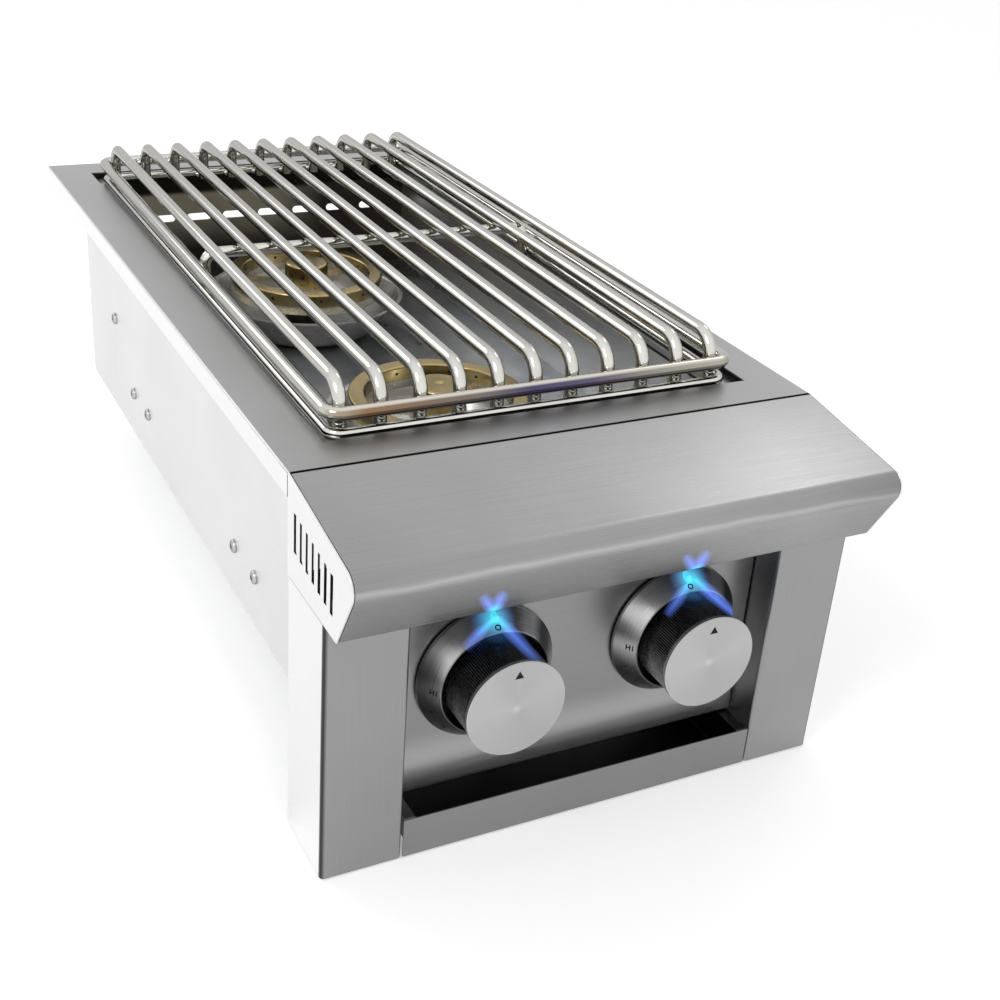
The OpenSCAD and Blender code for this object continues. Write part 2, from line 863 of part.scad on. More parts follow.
// Centre cap: an upside-down cup with ports in its wall and a dimple on top
module burner_cap(y) {
    color(brass)
        translate([0, y, 0])
            difference() {
                rotate_extrude()
                    polygon([
                        [0, cap_top - brass_wall], [0, cap_top], [cap_r - brass_wall, cap_top],
                        [cap_r, cap_top - brass_wall], [cap_r, base_top + seat_gap],
                        [cap_r - brass_wall, base_top + seat_gap], [cap_r - brass_wall, cap_top - brass_wall]
                    ]);
                translate([0, 0, cap_top - brass_wall / 2])
                    cylinder(h = brass_wall, r = cap_dimple_r);
                for (i = [0 : cap_ports - 1])
                    rotate([0, 0, i * 360 / cap_ports])
                        bar([cap_r - brass_wall * 3 / 2, 0, (cap_top + base_top) / 2],
                            [cap_r + over, 0, (cap_top + base_top) / 2], port_r);
            }
}

// Way of each venturi tube, from the mouth behind the valve to the burner's riser
function tube_side(y) = y == front_burner_y ? 1 : -1;
function tube_bend(y) = [tube_side(y) * knob_x, body_front + mouth_gap + tube_mouth, knob_z];
function tube_way(y) = unit([0, y, knob_z] - tube_bend(y));
function tube_end(y) = [0, y, knob_z] - tube_way(y) * (riser_r + socket_gap);

// Lowest corner of the air windows, which go through the tube and its shutter
function window_corner(mouth) =
    mouth + [-window_w / 2, (shutter_l - window_l) / 2, -tube_r - window_over];

// Cast base: riser with a socket for the tube, hollow arms and the pan under the brass ring
module burner_base(y) {
    way = tube_way(y);
    centre = [0, y, knob_z];
    foot_z = seat_gap - screw_depth - bracket_drop;
    socket_r = tube_r + run_gap + socket_wall;
    color(cast)
        difference() {
            union() {
                translate([0, y, knob_z - socket_r - base_wall])
                    cylinder(h = base_top - knob_z + socket_r + base_wall, r = riser_r);
                translate([0, y, foot_z])
                    cylinder(h = knob_z - foot_z, r = foot_r);
                bar(centre, centre - way * (riser_r + socket_gap + socket_l), socket_r);
                translate([0, y, base_floor])
                    cylinder(h = base_pan_h, r = cap_r + base_wall);
                for (i = [0 : arm_count - 1])
                    translate([0, y, 0])
                        rotate([0, 0, arm_turn + i * 360 / arm_count])
                            block([0, -arm_w / 2, base_floor + arm_inset],
                                [ring_bore_r + base_wall, arm_w / 2, base_top - arm_inset]);
                translate([0, y, 0])
                    rotate_extrude()
                        polygon([
                            [ring_bore_r, base_floor], [ring_r, base_floor],
                            [ring_r, base_top], [ring_bore_r, base_top]
                        ]);
            }
            translate([0, y, knob_z - socket_r])
                cylinder(h = base_top - knob_z + socket_r + over, r = riser_bore_r);
            bar(centre, centre - way * (riser_r + socket_gap), tube_r - tube_wall);
            bar(centre - way * (riser_r + socket_gap - run_gap),
                centre - way * (riser_r + socket_gap + socket_l + over), tube_r + run_gap);
            translate([0, y, 0])
                rotate_extrude()
                    polygon([
                        [ring_bore_r + brass_wall, base_floor + base_wall],
                        [ring_r - brass_wall, base_floor + base_wall],
                        [ring_r - brass_wall, base_top + over],
                        [ring_bore_r + brass_wall, base_top + over]
                    ]);
            for (i = [0 : arm_count - 1])
                translate([0, y, 0])
                    rotate([0, 0, arm_turn + i * 360 / arm_count])
                        block([0, base_wall - arm_w / 2, base_floor + arm_inset + base_wall / 2],
                            [ring_bore_r + brass_wall + base_wall, arm_w / 2 - base_wall,
                                base_top - arm_inset - base_wall / 2]);
        }
}

module reflector_dish(y) {
    flat_z = seat_gap - floor_depth;
    rim_z = dish_up - floor_depth;
    bore = riser_r + dish_bore_gap;
    path = [
        [bore, flat_z], [dish_flat_r, flat_z], [dish_r - dish_lip_r * 2, rim_z], [dish_r, rim_z]
    ];
    color(wire_steel)
        translate([0, y, 0])
            difference() {
                rotate_extrude()
                    polygon(sheet_outline(path, [0, dish_bend_r, dish_lip_r, 0], dish_sheet));
                translate([electrode_xy(0)[0], electrode_xy(0)[1], flat_z - over])
                    cylinder(h = dish_sheet + 2 * over, r = electrode_r + electrode_hole_gap);
            }
}

module burner_bracket(y) {
    front = y - bracket_screw_back - bracket_screw_pitch - bracket_edge;
    back = y + bracket_edge;
    top = -screw_depth - bracket_drop;
    color(inner_steel)
        difference() {
            union() {
                block([-body_in, front, top - sheet], [body_in, back, top]);
                for (m = [0, 1])
                    mirror([m, 0, 0])
                        block([body_in - sheet, front, top - sheet], [body_in, back, top + bracket_flange_h]);
            }
            for (s = bracket_screws(y))
                bar([-body_half, s[0], s[1]], [body_half, s[0], s[1]], screw_shank_r + screw_hole_gap);
        }
}

module electrode(y) {
    top = base_floor - electrode_top_gap;
    seat_z = 2 * seat_gap + dish_sheet - floor_depth;
    tip_top = ring_top;
    translate([electrode_xy(y)[0], electrode_xy(y)[1], 0]) {
        color(ceramic) {
            translate([0, 0, seat_z - electrode_tail])
                cylinder(h = top - seat_z + electrode_tail, r = electrode_r);
            translate([0, 0, seat_z])
                cylinder(h = electrode_collar_h, r = electrode_collar_r);
        }
        color(wire_steel)
            translate([0, 0, top - electrode_tip_l])
                cylinder(h = tip_top - top + electrode_tip_l, r = electrode_tip_r);
    }
}

module venturi_tube(y) {
    mouth = [tube_side(y) * knob_x, body_front + mouth_gap, knob_z];
    bend = tube_bend(y);
    finish = tube_end(y);
    ahead = [0, over, 0];
    way = tube_way(y);
    color(inner_steel)
        difference() {
            union() {
                bar(mouth, bend, tube_r);
                translate(bend)
                    sphere(r = tube_r + elbow_swell);
                bar(bend, finish, tube_r);
            }
            bar(mouth - ahead, bend, tube_r - tube_wall);
            translate(bend)
                sphere(r = tube_r + elbow_swell - tube_wall);
            bar(bend, finish + way * over, tube_r - tube_wall);
            translate(window_corner(mouth))
                cube([window_w, window_l, 2 * (tube_r + window_over)]);
        }
}

module air_shutter(y) {
    mouth = [tube_side(y) * knob_x, body_front + mouth_gap, knob_z];
    color(wire_steel)
        difference() {
            bar(mouth, mouth + [0, shutter_l, 0], tube_r + run_gap + shutter_wall);
            bar(mouth - [0, over, 0], mouth + [0, shutter_l + over, 0], tube_r + run_gap);
            translate(window_corner(mouth))
                cube([window_w, window_l, 2 * (tube_r + window_over)]);
        }
}

// Valves, orifices, manifold and supply pipe
valve_back = valve_front + valve_l;
leg_foot = manifold_z + boss_rise + seat_gap;

module orifice(side) {
    y = valve_back + valve_out_l + seat_gap;
    color(brass)
        difference() {
            bar([side * knob_x, y, knob_z], [side * knob_x, y + orifice_l, knob_z], orifice_r);
            bar([side * knob_x, y - over, knob_z], [side * knob_x, y + orifice_l + over, knob_z], orifice_jet_r);
        }
}

module valve(side) {
    x = side * knob_x;
    nose_y = valve_front - valve_nose_l;
    color(brass)
        difference() {
            union() {
                block([x - valve_w / 2, valve_front, knob_z - valve_h / 2],
                    [x + valve_w / 2, valve_back, knob_z + valve_h / 2]);
                bar([x, nose_y, knob_z], [x, valve_front + over, knob_z], valve_nose_r);
                bar([x, valve_back - over, knob_z], [x, valve_back + valve_out_l, knob_z], valve_out_r);
                bar([x, manifold_y, leg_foot], [x, manifold_y, knob_z - valve_h / 2 + over], valve_leg_r);
            }
            bar([x, nose_y - over, knob_z], [x, nose_y + stem_tail + stem_bore_extra, knob_z],
                stem_r + run_gap);
            bar([x, valve_back - over, knob_z], [x, valve_back + valve_out_l + over, knob_z], orifice_r / 2);
        }
}

module manifold() {
    color(inner_steel)
        difference() {
            union() {
                bar([-knob_x - manifold_end, manifold_y, manifold_z],
                    [supply_x + manifold_r, manifold_y, manifold_z], manifold_r);
                for (side = [-1, 1])
                    bar([side * knob_x, manifold_y, manifold_z],
                        [side * knob_x, manifold_y, manifold_z + boss_rise], boss_r);
                bar([supply_x, manifold_y, manifold_z], [supply_x, manifold_y + elbow_l, manifold_z],
                    supply_r + run_gap + pipe_wall);
            }
            bar([-knob_x - manifold_end + pipe_wall, manifold_y, manifold_z],
                [supply_x, manifold_y, manifold_z], manifold_r - 2 * pipe_wall);
            bar([supply_x, manifold_y + elbow_l / 2, manifold_z],
                [supply_x, manifold_y + elbow_l + over, manifold_z], supply_r + run_gap);
            bar([supply_x, manifold_y, manifold_z],
                [supply_x, manifold_y + elbow_l, manifold_z], supply_r - pipe_wall);
        }
}

module supply_pipe() {
    start = manifold_y + elbow_l / 2 + run_gap;
    finish = body_back - collar_l + pipe_stop;
    color(inner_steel)
        difference() {
            bar([supply_x, start, manifold_z], [supply_x, finish, manifold_z], supply_r);
            bar([supply_x, start - over, manifold_z], [supply_x, finish + over, manifold_z],
                supply_r - pipe_wall);
        }
}

// Gas inlet: socket for the pipe inside, round body through the back wall and a male flare outside
module gas_inlet() {
    seat_y = body_back + seat_gap;
    inner = body_back - sheet - seat_gap;
    color(brass)
        difference() {
            union() {
                bar([supply_x, inner - inlet_body_l, manifold_z], [supply_x, inner, manifold_z], inlet_body_r);
                bar([supply_x, inner - over, manifold_z], [supply_x, seat_y + flare_l, manifold_z],
                    flare_r);
                translate([supply_x, seat_y + flare_l, manifold_z])
                    rotate([-90, 0, 0])
                        cylinder(h = flare_cone, r1 = flare_r, r2 = flare_tip_r);
            }
            bar([supply_x, inner - inlet_body_l - over, manifold_z],
                [supply_x, body_back - collar_l + pipe_stop + run_gap, manifold_z], supply_r + run_gap);
            bar([supply_x, inner - inlet_body_l, manifold_z],
                [supply_x, seat_y + flare_l + flare_cone + over, manifold_z], flare_bore_r);
        }
}

// Stems and washers
stem_back = valve_front - valve_nose_l + stem_tail;
socket_front = face_gap + face_t - face_reach + knob_front_wall;
stem_front = socket_front + run_gap;
grip_back = panel_y - bezel_floor - push_travel - knob_back_gap;
boss_back = grip_back - knob_boss_short;

module stem_washer(side) {
    y = valve_front - valve_nose_l - seat_washer_ahead - seat_washer_t;
    x = side * knob_x;
    color(inner_steel)
        difference() {
            bar([x, y, knob_z], [x, y + seat_washer_t, knob_z], seat_washer_r);
            bar([x, y - over, knob_z], [x, y + seat_washer_t + over, knob_z], stem_r + run_gap);
        }
}

module stem(side) {
    x = side * knob_x;
    color(wire_steel)
        difference() {
            bar([x, stem_front, knob_z], [x, stem_back, knob_z], stem_r);
            block([x - stem_r, stem_front - over, knob_z + stem_flat],
                [x + stem_r, boss_back + face_gap, knob_z + stem_r + over]);
        }
}

// Bezel: cone round the knob, with a floor against the control panel
module bezel_profile() {
    polygon([
        [0, 0], [bezel_r, 0], [bezel_r, bezel_edge], [bezel_rim_r, bezel_h], [0, bezel_h]
    ]);
}

module bezel_at(side) {
    translate([side * knob_x, panel_y - seat_gap, knob_z])
        rotate([90, 0, 0])
            rotate_extrude()
                children();
}

module lens_at(side, r) {
    x = side * knob_x;
    z = knob_z + lens_up;
    bar([x, panel_y - seat_gap - bezel_floor, z], [x, panel_y - bezel_h - over, z], r);
}

module bezel(side) {
    color(steel)
        difference() {
            bezel_at(side)
                bezel_profile();
            bezel_at(side)
                polygon([
                    [0, -over], [bezel_hole_r, -over], [bezel_hole_r, bezel_floor],
                    [bezel_bore_r, bezel_floor], [bezel_bore_r, bezel_h + over], [0, bezel_h + over]
                ]);
            lens_at(side, lens_r + run_gap);
        }
}

module light_lens(side) {
    color(glow)
        intersection() {
            bezel_at(side)
                bezel_profile();
            translate([0, -run_gap, 0])
                lens_at(side, lens_r);
        }
}

module knob_grip(side) {
    front = face_t + face_gap - face_reach;
    x = side * knob_x;
    color(black)
        difference() {
            bar([x, front, knob_z], [x, grip_back, knob_z], knob_r);
            difference() {
                bar([x, front + knob_front_wall + knob_wall, knob_z], [x, grip_back + over, knob_z],
                    knob_r - knob_wall);
                bar([x, front, knob_z], [x, boss_back, knob_z], knob_boss_r);
            }
            difference() {
                bar([x, socket_front, knob_z], [x, boss_back + over, knob_z], stem_r + run_gap);
                block([x - stem_r - over, front, knob_z + stem_flat + run_gap],
                    [x + stem_r + over, boss_back + over, knob_z + stem_r + over]);
            }
            bar([x, front - over, knob_z], [x, front + face_spigot_l, knob_z], face_spigot_r + run_gap);
        }
}

module knob_face(side) {
    front = -face_reach;
    x = side * knob_x;
    tip = marker_side / 2;
    color(steel)
        difference() {
            union() {
                bar([x, front, knob_z], [x, front + face_t, knob_z], face_r);
                bar([x, front, knob_z], [x, front + face_t + face_gap + face_spigot_l - run_gap, knob_z],
                    face_spigot_r);
            }
            translate([x, 0, knob_z + marker_up])
                along(front - over, front + marker_depth)
                    polygon([[-tip, -tip], [tip, -tip], [0, tip]]);
        }
}

module front_burner_ring() { burner_ring(front_burner_y); }
module rear_burner_ring() { burner_ring(rear_burner_y); }
module front_burner_cap() { burner_cap(front_burner_y); }
module rear_burner_cap() { burner_cap(rear_burner_y); }
module front_burner_base() { burner_base(front_burner_y); }
module rear_burner_base() { burner_base(rear_burner_y); }
module front_reflector_dish() { reflector_dish(front_burner_y); }
module rear_reflector_dish() { reflector_dish(rear_burner_y); }
module front_burner_bracket() { burner_bracket(front_burner_y); }
module rear_burner_bracket() { burner_bracket(rear_burner_y); }
module front_electrode() { electrode(front_burner_y); }
module rear_electrode() { electrode(rear_burner_y); }
module front_venturi_tube() { venturi_tube(front_burner_y); }
module rear_venturi_tube() { venturi_tube(rear_burner_y); }
module front_air_shutter() { air_shutter(front_burner_y); }
module rear_air_shutter() { air_shutter(rear_burner_y); }
module front_orifice() { orifice(1); }
module rear_orifice() { orifice(-1); }
module left_valve() { valve(-1); }
module right_valve() { valve(1); }
module left_stem_washer() { stem_washer(-1); }
module right_stem_washer() { stem_washer(1); }
module left_stem() { stem(-1); }
module right_stem() { stem(1); }
module left_bezel() { bezel(-1); }
module right_bezel() { bezel(1); }
module left_light_lens() { light_lens(-1); }
module right_light_lens() { light_lens(1); }
module left_knob_grip() { knob_grip(-1); }
module right_knob_grip() { knob_grip(1); }
module left_knob_face() { knob_face(-1); }
module right_knob_face() { knob_face(1); }

top_frame();
left_side_panel();
right_side_panel();
back_panel();
front_heat_shield();
floor_pan();
bottom_pan();
left_grate_rest();
right_grate_rest();
side_screws();
nose_cover();
left_end_cap();
right_end_cap();
left_post();
right_post();
control_panel();
drip_tray();
left_tray_runner();
right_tray_runner();
grate_upper_ring();
grate_lower_ring();
grate_pan_rods();
grate_cross_rod();
front_burner_ring();
rear_burner_ring();
front_burner_cap();
rear_burner_cap();
front_burner_base();
rear_burner_base();
front_reflector_dish();
rear_reflector_dish();
front_burner_bracket();
rear_burner_bracket();
front_electrode();
rear_electrode();
front_venturi_tube();
rear_venturi_tube();
front_air_shutter();
rear_air_shutter();
front_orifice();
rear_orifice();
left_valve();
right_valve();
manifold();
supply_pipe();
gas_inlet();
left_stem_washer();
right_stem_washer();
left_stem();
right_stem();
left_bezel();
right_bezel();
left_light_lens();
right_light_lens();
left_knob_grip();
right_knob_grip();
left_knob_face();
right_knob_face();
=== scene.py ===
import math

import bmesh
import bpy
from mathutils import Matrix, Vector


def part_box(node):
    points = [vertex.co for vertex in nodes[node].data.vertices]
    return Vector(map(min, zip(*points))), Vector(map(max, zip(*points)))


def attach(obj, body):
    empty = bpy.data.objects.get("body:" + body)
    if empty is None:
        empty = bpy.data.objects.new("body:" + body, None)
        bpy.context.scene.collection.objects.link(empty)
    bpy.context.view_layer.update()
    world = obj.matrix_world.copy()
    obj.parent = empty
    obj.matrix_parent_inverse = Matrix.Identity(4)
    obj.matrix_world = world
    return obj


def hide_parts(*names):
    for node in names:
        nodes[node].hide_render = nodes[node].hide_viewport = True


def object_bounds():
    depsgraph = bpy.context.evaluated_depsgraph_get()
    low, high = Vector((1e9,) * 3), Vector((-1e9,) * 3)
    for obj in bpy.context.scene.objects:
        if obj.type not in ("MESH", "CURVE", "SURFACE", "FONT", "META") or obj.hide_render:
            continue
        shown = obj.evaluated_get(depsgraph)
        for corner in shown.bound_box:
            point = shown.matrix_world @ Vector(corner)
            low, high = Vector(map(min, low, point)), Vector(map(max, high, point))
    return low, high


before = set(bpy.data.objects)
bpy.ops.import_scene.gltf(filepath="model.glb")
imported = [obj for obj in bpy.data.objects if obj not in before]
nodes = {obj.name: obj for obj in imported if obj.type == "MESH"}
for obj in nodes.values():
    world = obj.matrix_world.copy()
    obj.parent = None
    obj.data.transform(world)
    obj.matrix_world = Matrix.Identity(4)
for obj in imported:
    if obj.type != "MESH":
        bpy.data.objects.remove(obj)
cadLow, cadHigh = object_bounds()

mm = 0.001
quarterTurn = math.radians(90)
print("frame loaded:", len(nodes), "nodes")


# Small tools for working on one object at a time

def endEdit():
    bpy.ops.object.mode_set(mode="OBJECT")


def dropSelection():
    if bpy.context.object and bpy.context.object.mode == "EDIT":
        endEdit()
    bpy.ops.object.select_all(action="DESELECT")


def pick(obj):
    dropSelection()
    obj.select_set(True)
    bpy.context.view_layer.objects.active = obj


def rename(obj, name):
    obj.name = name
    obj.data.name = name
    return obj


def startPiece(name):
    bpy.ops.object.transform_apply(location=True, rotation=True, scale=True)
    return rename(bpy.context.object, name)


def editing(obj, mode="VERT", action="DESELECT"):
    pick(obj)
    bpy.ops.object.mode_set(mode="EDIT")
    bpy.ops.mesh.select_mode(type=mode)
    bpy.ops.mesh.select_all(action=action)
    return bmesh.from_edit_mesh(obj.data)


def chooseEdges(obj, test):
    mesh = bmesh.from_edit_mesh(obj.data)
    bpy.ops.mesh.select_mode(type="EDGE")
    bpy.ops.mesh.select_all(action="DESELECT")
    for edge in mesh.edges:
        if test(edge):
            edge.select_set(True)
    bmesh.update_edit_mesh(obj.data)


def pullEdges(offset):
    bpy.ops.mesh.extrude_edges_move(TRANSFORM_OT_translate={"value": offset})


def near(a, b, slack=0.05 * mm):
    return abs(a - b) < slack


def middle(edge):
    return (edge.verts[0].co + edge.verts[1].co) / 2


def middleOf(node):
    low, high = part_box(node)
    return (low + high) / 2


def facing(right, up, normal):
    return Matrix([[right[r], up[r], normal[r]] for r in range(3)]).to_euler()


def aimed(way):
    return way.to_track_quat("Z", "Y").to_euler()


def arcTurns(degrees):
    return [(math.sin(math.radians(a)), math.cos(math.radians(a))) for a in degrees]


def applyAll(obj):
    pick(obj)
    for modifier in list(obj.modifiers):
        bpy.ops.object.modifier_apply(modifier=modifier.name)


def tidyMesh(obj, smoothAngle=35):
    editing(obj, action="SELECT")
    bpy.ops.mesh.remove_doubles(threshold=0.005 * mm)
    bpy.ops.mesh.normals_make_consistent(inside=False)
    endEdit()
    bpy.ops.object.shade_smooth_by_angle(angle=math.radians(smoothAngle))
    # Weighted normals keep the flat faces flat next to their rounded edges
    weigh = obj.modifiers.new("weighted normals", "WEIGHTED_NORMAL")
    weigh.keep_sharp = True
    bpy.ops.object.modifier_apply(modifier=weigh.name)


def thicken(obj, thickness):
    wall = obj.modifiers.new("wall", "SOLIDIFY")
    wall.thickness = thickness
    wall.offset = -1
    wall.use_even_offset = True


def soften(obj, width, segments=2, angle=50, smoothAngle=35):
    # Every edge that turns by more than the angle is rounded, and all that is set up is applied
    bevel = obj.modifiers.new("bevel", "BEVEL")
    bevel.width = width
    bevel.segments = segments
    bevel.limit_method = "ANGLE"
    bevel.angle_limit = math.radians(angle)
    applyAll(obj)
    tidyMesh(obj, smoothAngle)


def hand(obj, body, slot, finish, *replaced):
    obj.data.materials.clear()
    obj.data.materials.append(finish.material)
    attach(obj, body)
    if replaced:
        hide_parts(*replaced)


def copyOf(obj, name):
    twin = obj.copy()
    twin.data = obj.data.copy()
    bpy.context.scene.collection.objects.link(twin)
    return rename(twin, name)


def shiftMesh(obj, offset):
    editing(obj, action="SELECT")
    bpy.ops.transform.translate(value=offset)
    endEdit()


def flipAcross(obj):
    editing(obj, action="SELECT")
    bpy.ops.transform.resize(value=(-1, 1, 1), center_override=(0, 0, 0))
    bpy.ops.mesh.flip_normals()
    endEdit()


def joinPieces(name, objs):
    dropSelection()
    for obj in objs:
        obj.select_set(True)
    bpy.context.view_layer.objects.active = objs[0]
    if len(objs) > 1:
        bpy.ops.object.join()
    return rename(bpy.context.object, name)


# Materials: each is a shader with its own small node tree on Object coordinates

def grey(tone):
    return (tone, tone, tone)


def shaded(base, share):
    return tuple(c * share for c in base)


class NodeTree:
    # Short ways to add the nodes that the finishes and the world use
    def __init__(self, tree):
        self.tree = tree

    def node(self, kind, **values):
        made = self.tree.nodes.new(kind)
        for key, value in values.items():
            setattr(made, key, value)
        return made

    def put(self, value, socket):
        # An output is linked, and anything else is set as it is
        if hasattr(value, "is_output"):
            self.tree.links.new(value, socket)
        else:
            socket.default_value = value

    def calc(self, kind, first, second=0.0, clamp=False):
        made = self.node("ShaderNodeMath", operation=kind, use_clamp=clamp)
        self.put(first, made.inputs[0])
        self.put(second, made.inputs[1])
        return made.outputs[0]

    def times(self, *factors):
        total = factors[0]
        for factor in factors[1:]:
            total = self.calc("MULTIPLY", total, factor)
        return total

    def span(self, value, low, high, toLow=0.0, toHigh=1.0):
        made = self.node("ShaderNodeMapRange")
        self.put(value, made.inputs["Value"])
        for name, number in (("From Min", low), ("From Max", high), ("To Min", toLow), ("To Max", toHigh)):
            made.inputs[name].default_value = number
        return made.outputs["Result"]

    def seenBy(self, *rays):
        # 1 for the named kinds of ray, 0 for the others
        paths = self.node("ShaderNodeLightPath")
        total = 0.0
        for ray in rays:
            total = self.calc("ADD", paths.outputs[ray], total, True)
        return total


class Finish(NodeTree):
    def __init__(self, name, base, metallic, roughness):
        self.material = bpy.data.materials.new(name)
        self.material.use_nodes = True
        super().__init__(self.material.node_tree)
        self.shader = self.tree.nodes["Principled BSDF"]
        self.set("Base Color", (*base, 1))
        self.set("Metallic", metallic)
        self.set("Roughness", roughness)
        self.coordinates = self.node("ShaderNodeTexCoord").outputs["Object"]

    def set(self, name, value):
        self.put(value, self.shader.inputs[name])

    def mapped(self, scale):
        mapping = self.node("ShaderNodeMapping")
        self.put(scale, mapping.inputs["Scale"])
        self.put(self.coordinates, mapping.inputs["Vector"])
        return mapping.outputs["Vector"]

    def noise(self, scale, detail=3, roughness=0.5, source=None):
        texture = self.node("ShaderNodeTexNoise")
        self.put(self.coordinates if source is None else source, texture.inputs["Vector"])
        for name, number in (("Scale", scale), ("Detail", detail), ("Roughness", roughness)):
            texture.inputs[name].default_value = number
        return texture.outputs["Fac"]

    def vary(self, noise, low=0.0, high=1.0):
        # Noise seldom leaves 0.3 to 0.7
        return self.span(noise, 0.3, 0.7, low, high)

    def blend(self, factor, first, second, mode="MIX"):
        made = self.node("ShaderNodeMix", data_type="RGBA", blend_type=mode)
        self.put(factor, made.inputs["Factor"])
        for name, value in (("A", first), ("B", second)):
            socket = [s for s in made.inputs if s.name == name and s.type == "RGBA"][0]
            self.put(value if hasattr(value, "is_output") else (*value, 1), socket)
        return [s for s in made.outputs if s.type == "RGBA"][0]

    def toned(self, first, second):
        return self.blend(1.0, first, second, "MULTIPLY")

    def vector(self, kind, first, second=(0, 0, 0)):
        made = self.node("ShaderNodeVectorMath", operation=kind)
        self.put(first, made.inputs[0])
        self.put(second, made.inputs[1])
        return made.outputs["Value" if kind in ("LENGTH", "DOT_PRODUCT") else "Vector"]

    def offset(self, place):
        return self.vector("SUBTRACT", self.coordinates, place)

    def fromAxis(self, away, axis):
        # Distance from a line along X, Y or Z (axis 0, 1 or 2)
        flat = self.vector("MULTIPLY", away, tuple(0 if i == axis else 1 for i in range(3)))
        return self.vector("LENGTH", flat)

    def part(self, vector, axis):
        split = self.node("ShaderNodeSeparateXYZ")
        self.put(vector, split.inputs[0])
        return split.outputs[axis]

    def along(self, axis, centre=None):
        # The place along an axis or, where a centre is given, the distance from it
        place = self.part(self.coordinates, axis)
        if centre is None:
            return place
        return self.calc("ABSOLUTE", self.calc("SUBTRACT", place, centre))

    def fade(self, axis, edge, offsets, centre=None):
        # 0 at the first offset from an edge and 1 at the second
        return self.span(self.along(axis, centre), edge + offsets[0], edge + offsets[1])

    def ramp(self, value, stops):
        # stops lists (place, grey or colour)
        made = self.node("ShaderNodeValToRGB")
        self.put(value, made.inputs["Fac"])
        steps = made.color_ramp.elements
        for i, (place, tone) in enumerate(stops):
            step = steps[i] if i < 2 else steps.new(place)
            step.position = place
            step.color = (*(tone if isinstance(tone, tuple) else grey(tone)), 1)
        return made.outputs["Color"]

    def fan(self, away, stops):
        # stops lists (degrees round Y from +X towards +Z, grey)
        angle = self.calc("ARCTAN2", self.part(away, "Z"), self.part(away, "X"))
        return self.ramp(self.span(angle, -math.pi, math.pi), [((a + 180) / 360, tone) for a, tone in stops])

    def grazing(self, power):
        # 0 where the surface faces the eye, 1 at its outline
        return self.calc("POWER", self.node("ShaderNodeLayerWeight").outputs["Facing"], power)

    def colour(self, value):
        self.set("Base Color", value)

    def rough(self, noise, low, high):
        self.set("Roughness", self.vary(noise, low, high))

    def bump(self, height, strength, distance):
        made = self.node("ShaderNodeBump")
        for name, value in (("Strength", strength), ("Distance", distance * mm), ("Height", height)):
            self.put(value, made.inputs[name])
        self.set("Normal", made.outputs["Normal"])


def brushedSteel(name, base, roughness, stretch, streak=0.05, cloud=0.06):
    # stretch holds how fine the grain is along each axis, per metre
    finish = Finish(name, base, 1.0, roughness)
    grain = finish.noise(1.0, 4, 0.65, finish.mapped(stretch))
    patches = finish.noise(9.0, 2)
    mix = finish.calc("ADD", finish.vary(grain, -streak, streak), finish.vary(patches, -cloud, cloud))
    finish.tone = finish.blend(finish.span(mix, -0.25, 0.25), shaded(base, 0.78), shaded(base, 1.22))
    finish.colour(finish.tone)
    finish.rough(grain, roughness - 0.05, roughness + 0.05)
    finish.bump(grain, 0.12, 0.03)
    return finish


def polishedWire(name, base, roughness, metallic=1.0, tintAndLightLook=None):
    finish = Finish(name, base, metallic, roughness)
    scratches = finish.noise(1.0, 2, 0.5, finish.mapped((900, 900, 900)))
    clouds = finish.noise(30.0)
    finish.rough(clouds, roughness - 0.04, roughness + 0.07)
    finish.bump(scratches, 0.03, 0.02)
    wearAndPaintedLight = finish.blend(finish.span(clouds, 0.35, 0.75), base, shaded(base, 0.86))
    if tintAndLightLook:
        wearAndPaintedLight = heatTintAndPaintedLight(finish, wearAndPaintedLight, tintAndLightLook)
    # Painted reflection: the outlines are darkened as if they mirrored the dark well and the neighbouring
    # wires
    finish.colour(finish.blend(finish.grazing(1.5), wearAndPaintedLight, shaded(base, 0.1)))
    return finish


# Heat tint bands of the front bar, with a painted highlight on its top and painted shade on its foot
tintAndPaintedLightLook = {
    "front": (9.5 * mm, 4.5 * mm), "above": (-3.4 * mm, -1.4 * mm), "sides": (-130 * mm, 130 * mm),
    "highlightBand": (-1.5 * mm, -0.5 * mm), "highlightTone": (0.8, 0.76, 0.68),
    "shade": (3.0 * mm, 1.2 * mm), "shadeTone": (0.05, 0.04, 0.03),
    "bands": [(0.0, (0.44, 0.4, 0.32)), (0.08, (0.3, 0.18, 0.1)), (0.2, (0.24, 0.17, 0.12)),
              (0.34, (0.2, 0.175, 0.155)), (0.47, (0.085, 0.07, 0.15)), (0.62, (0.13, 0.11, 0.18)),
              (0.76, (0.3, 0.28, 0.25)), (0.97, (0.46, 0.45, 0.38))],
}


def heatTintAndPaintedLight(finish, wearAndPaintedLight, look):
    # Heat leaves straw and violet bands on the bar nearest the front burner
    low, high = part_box("grate_upper_ring")
    bar = finish.ramp(finish.fade("X", 0, look["sides"]), look["bands"])
    # Painted highlight on the bar's top, as if it mirrored the lamps, and painted shade on its foot, as if it
    # mirrored the well
    bar = finish.blend(finish.fade("Z", high.z, look["highlightBand"]), bar, look["highlightTone"])
    bar = finish.blend(finish.fade("Z", low.z, look["shade"]), bar, look["shadeTone"])
    here = finish.times(finish.fade("Y", low.y, look["front"]), finish.fade("Z", low.z, look["above"]))
    return finish.blend(here, wearAndPaintedLight, bar)


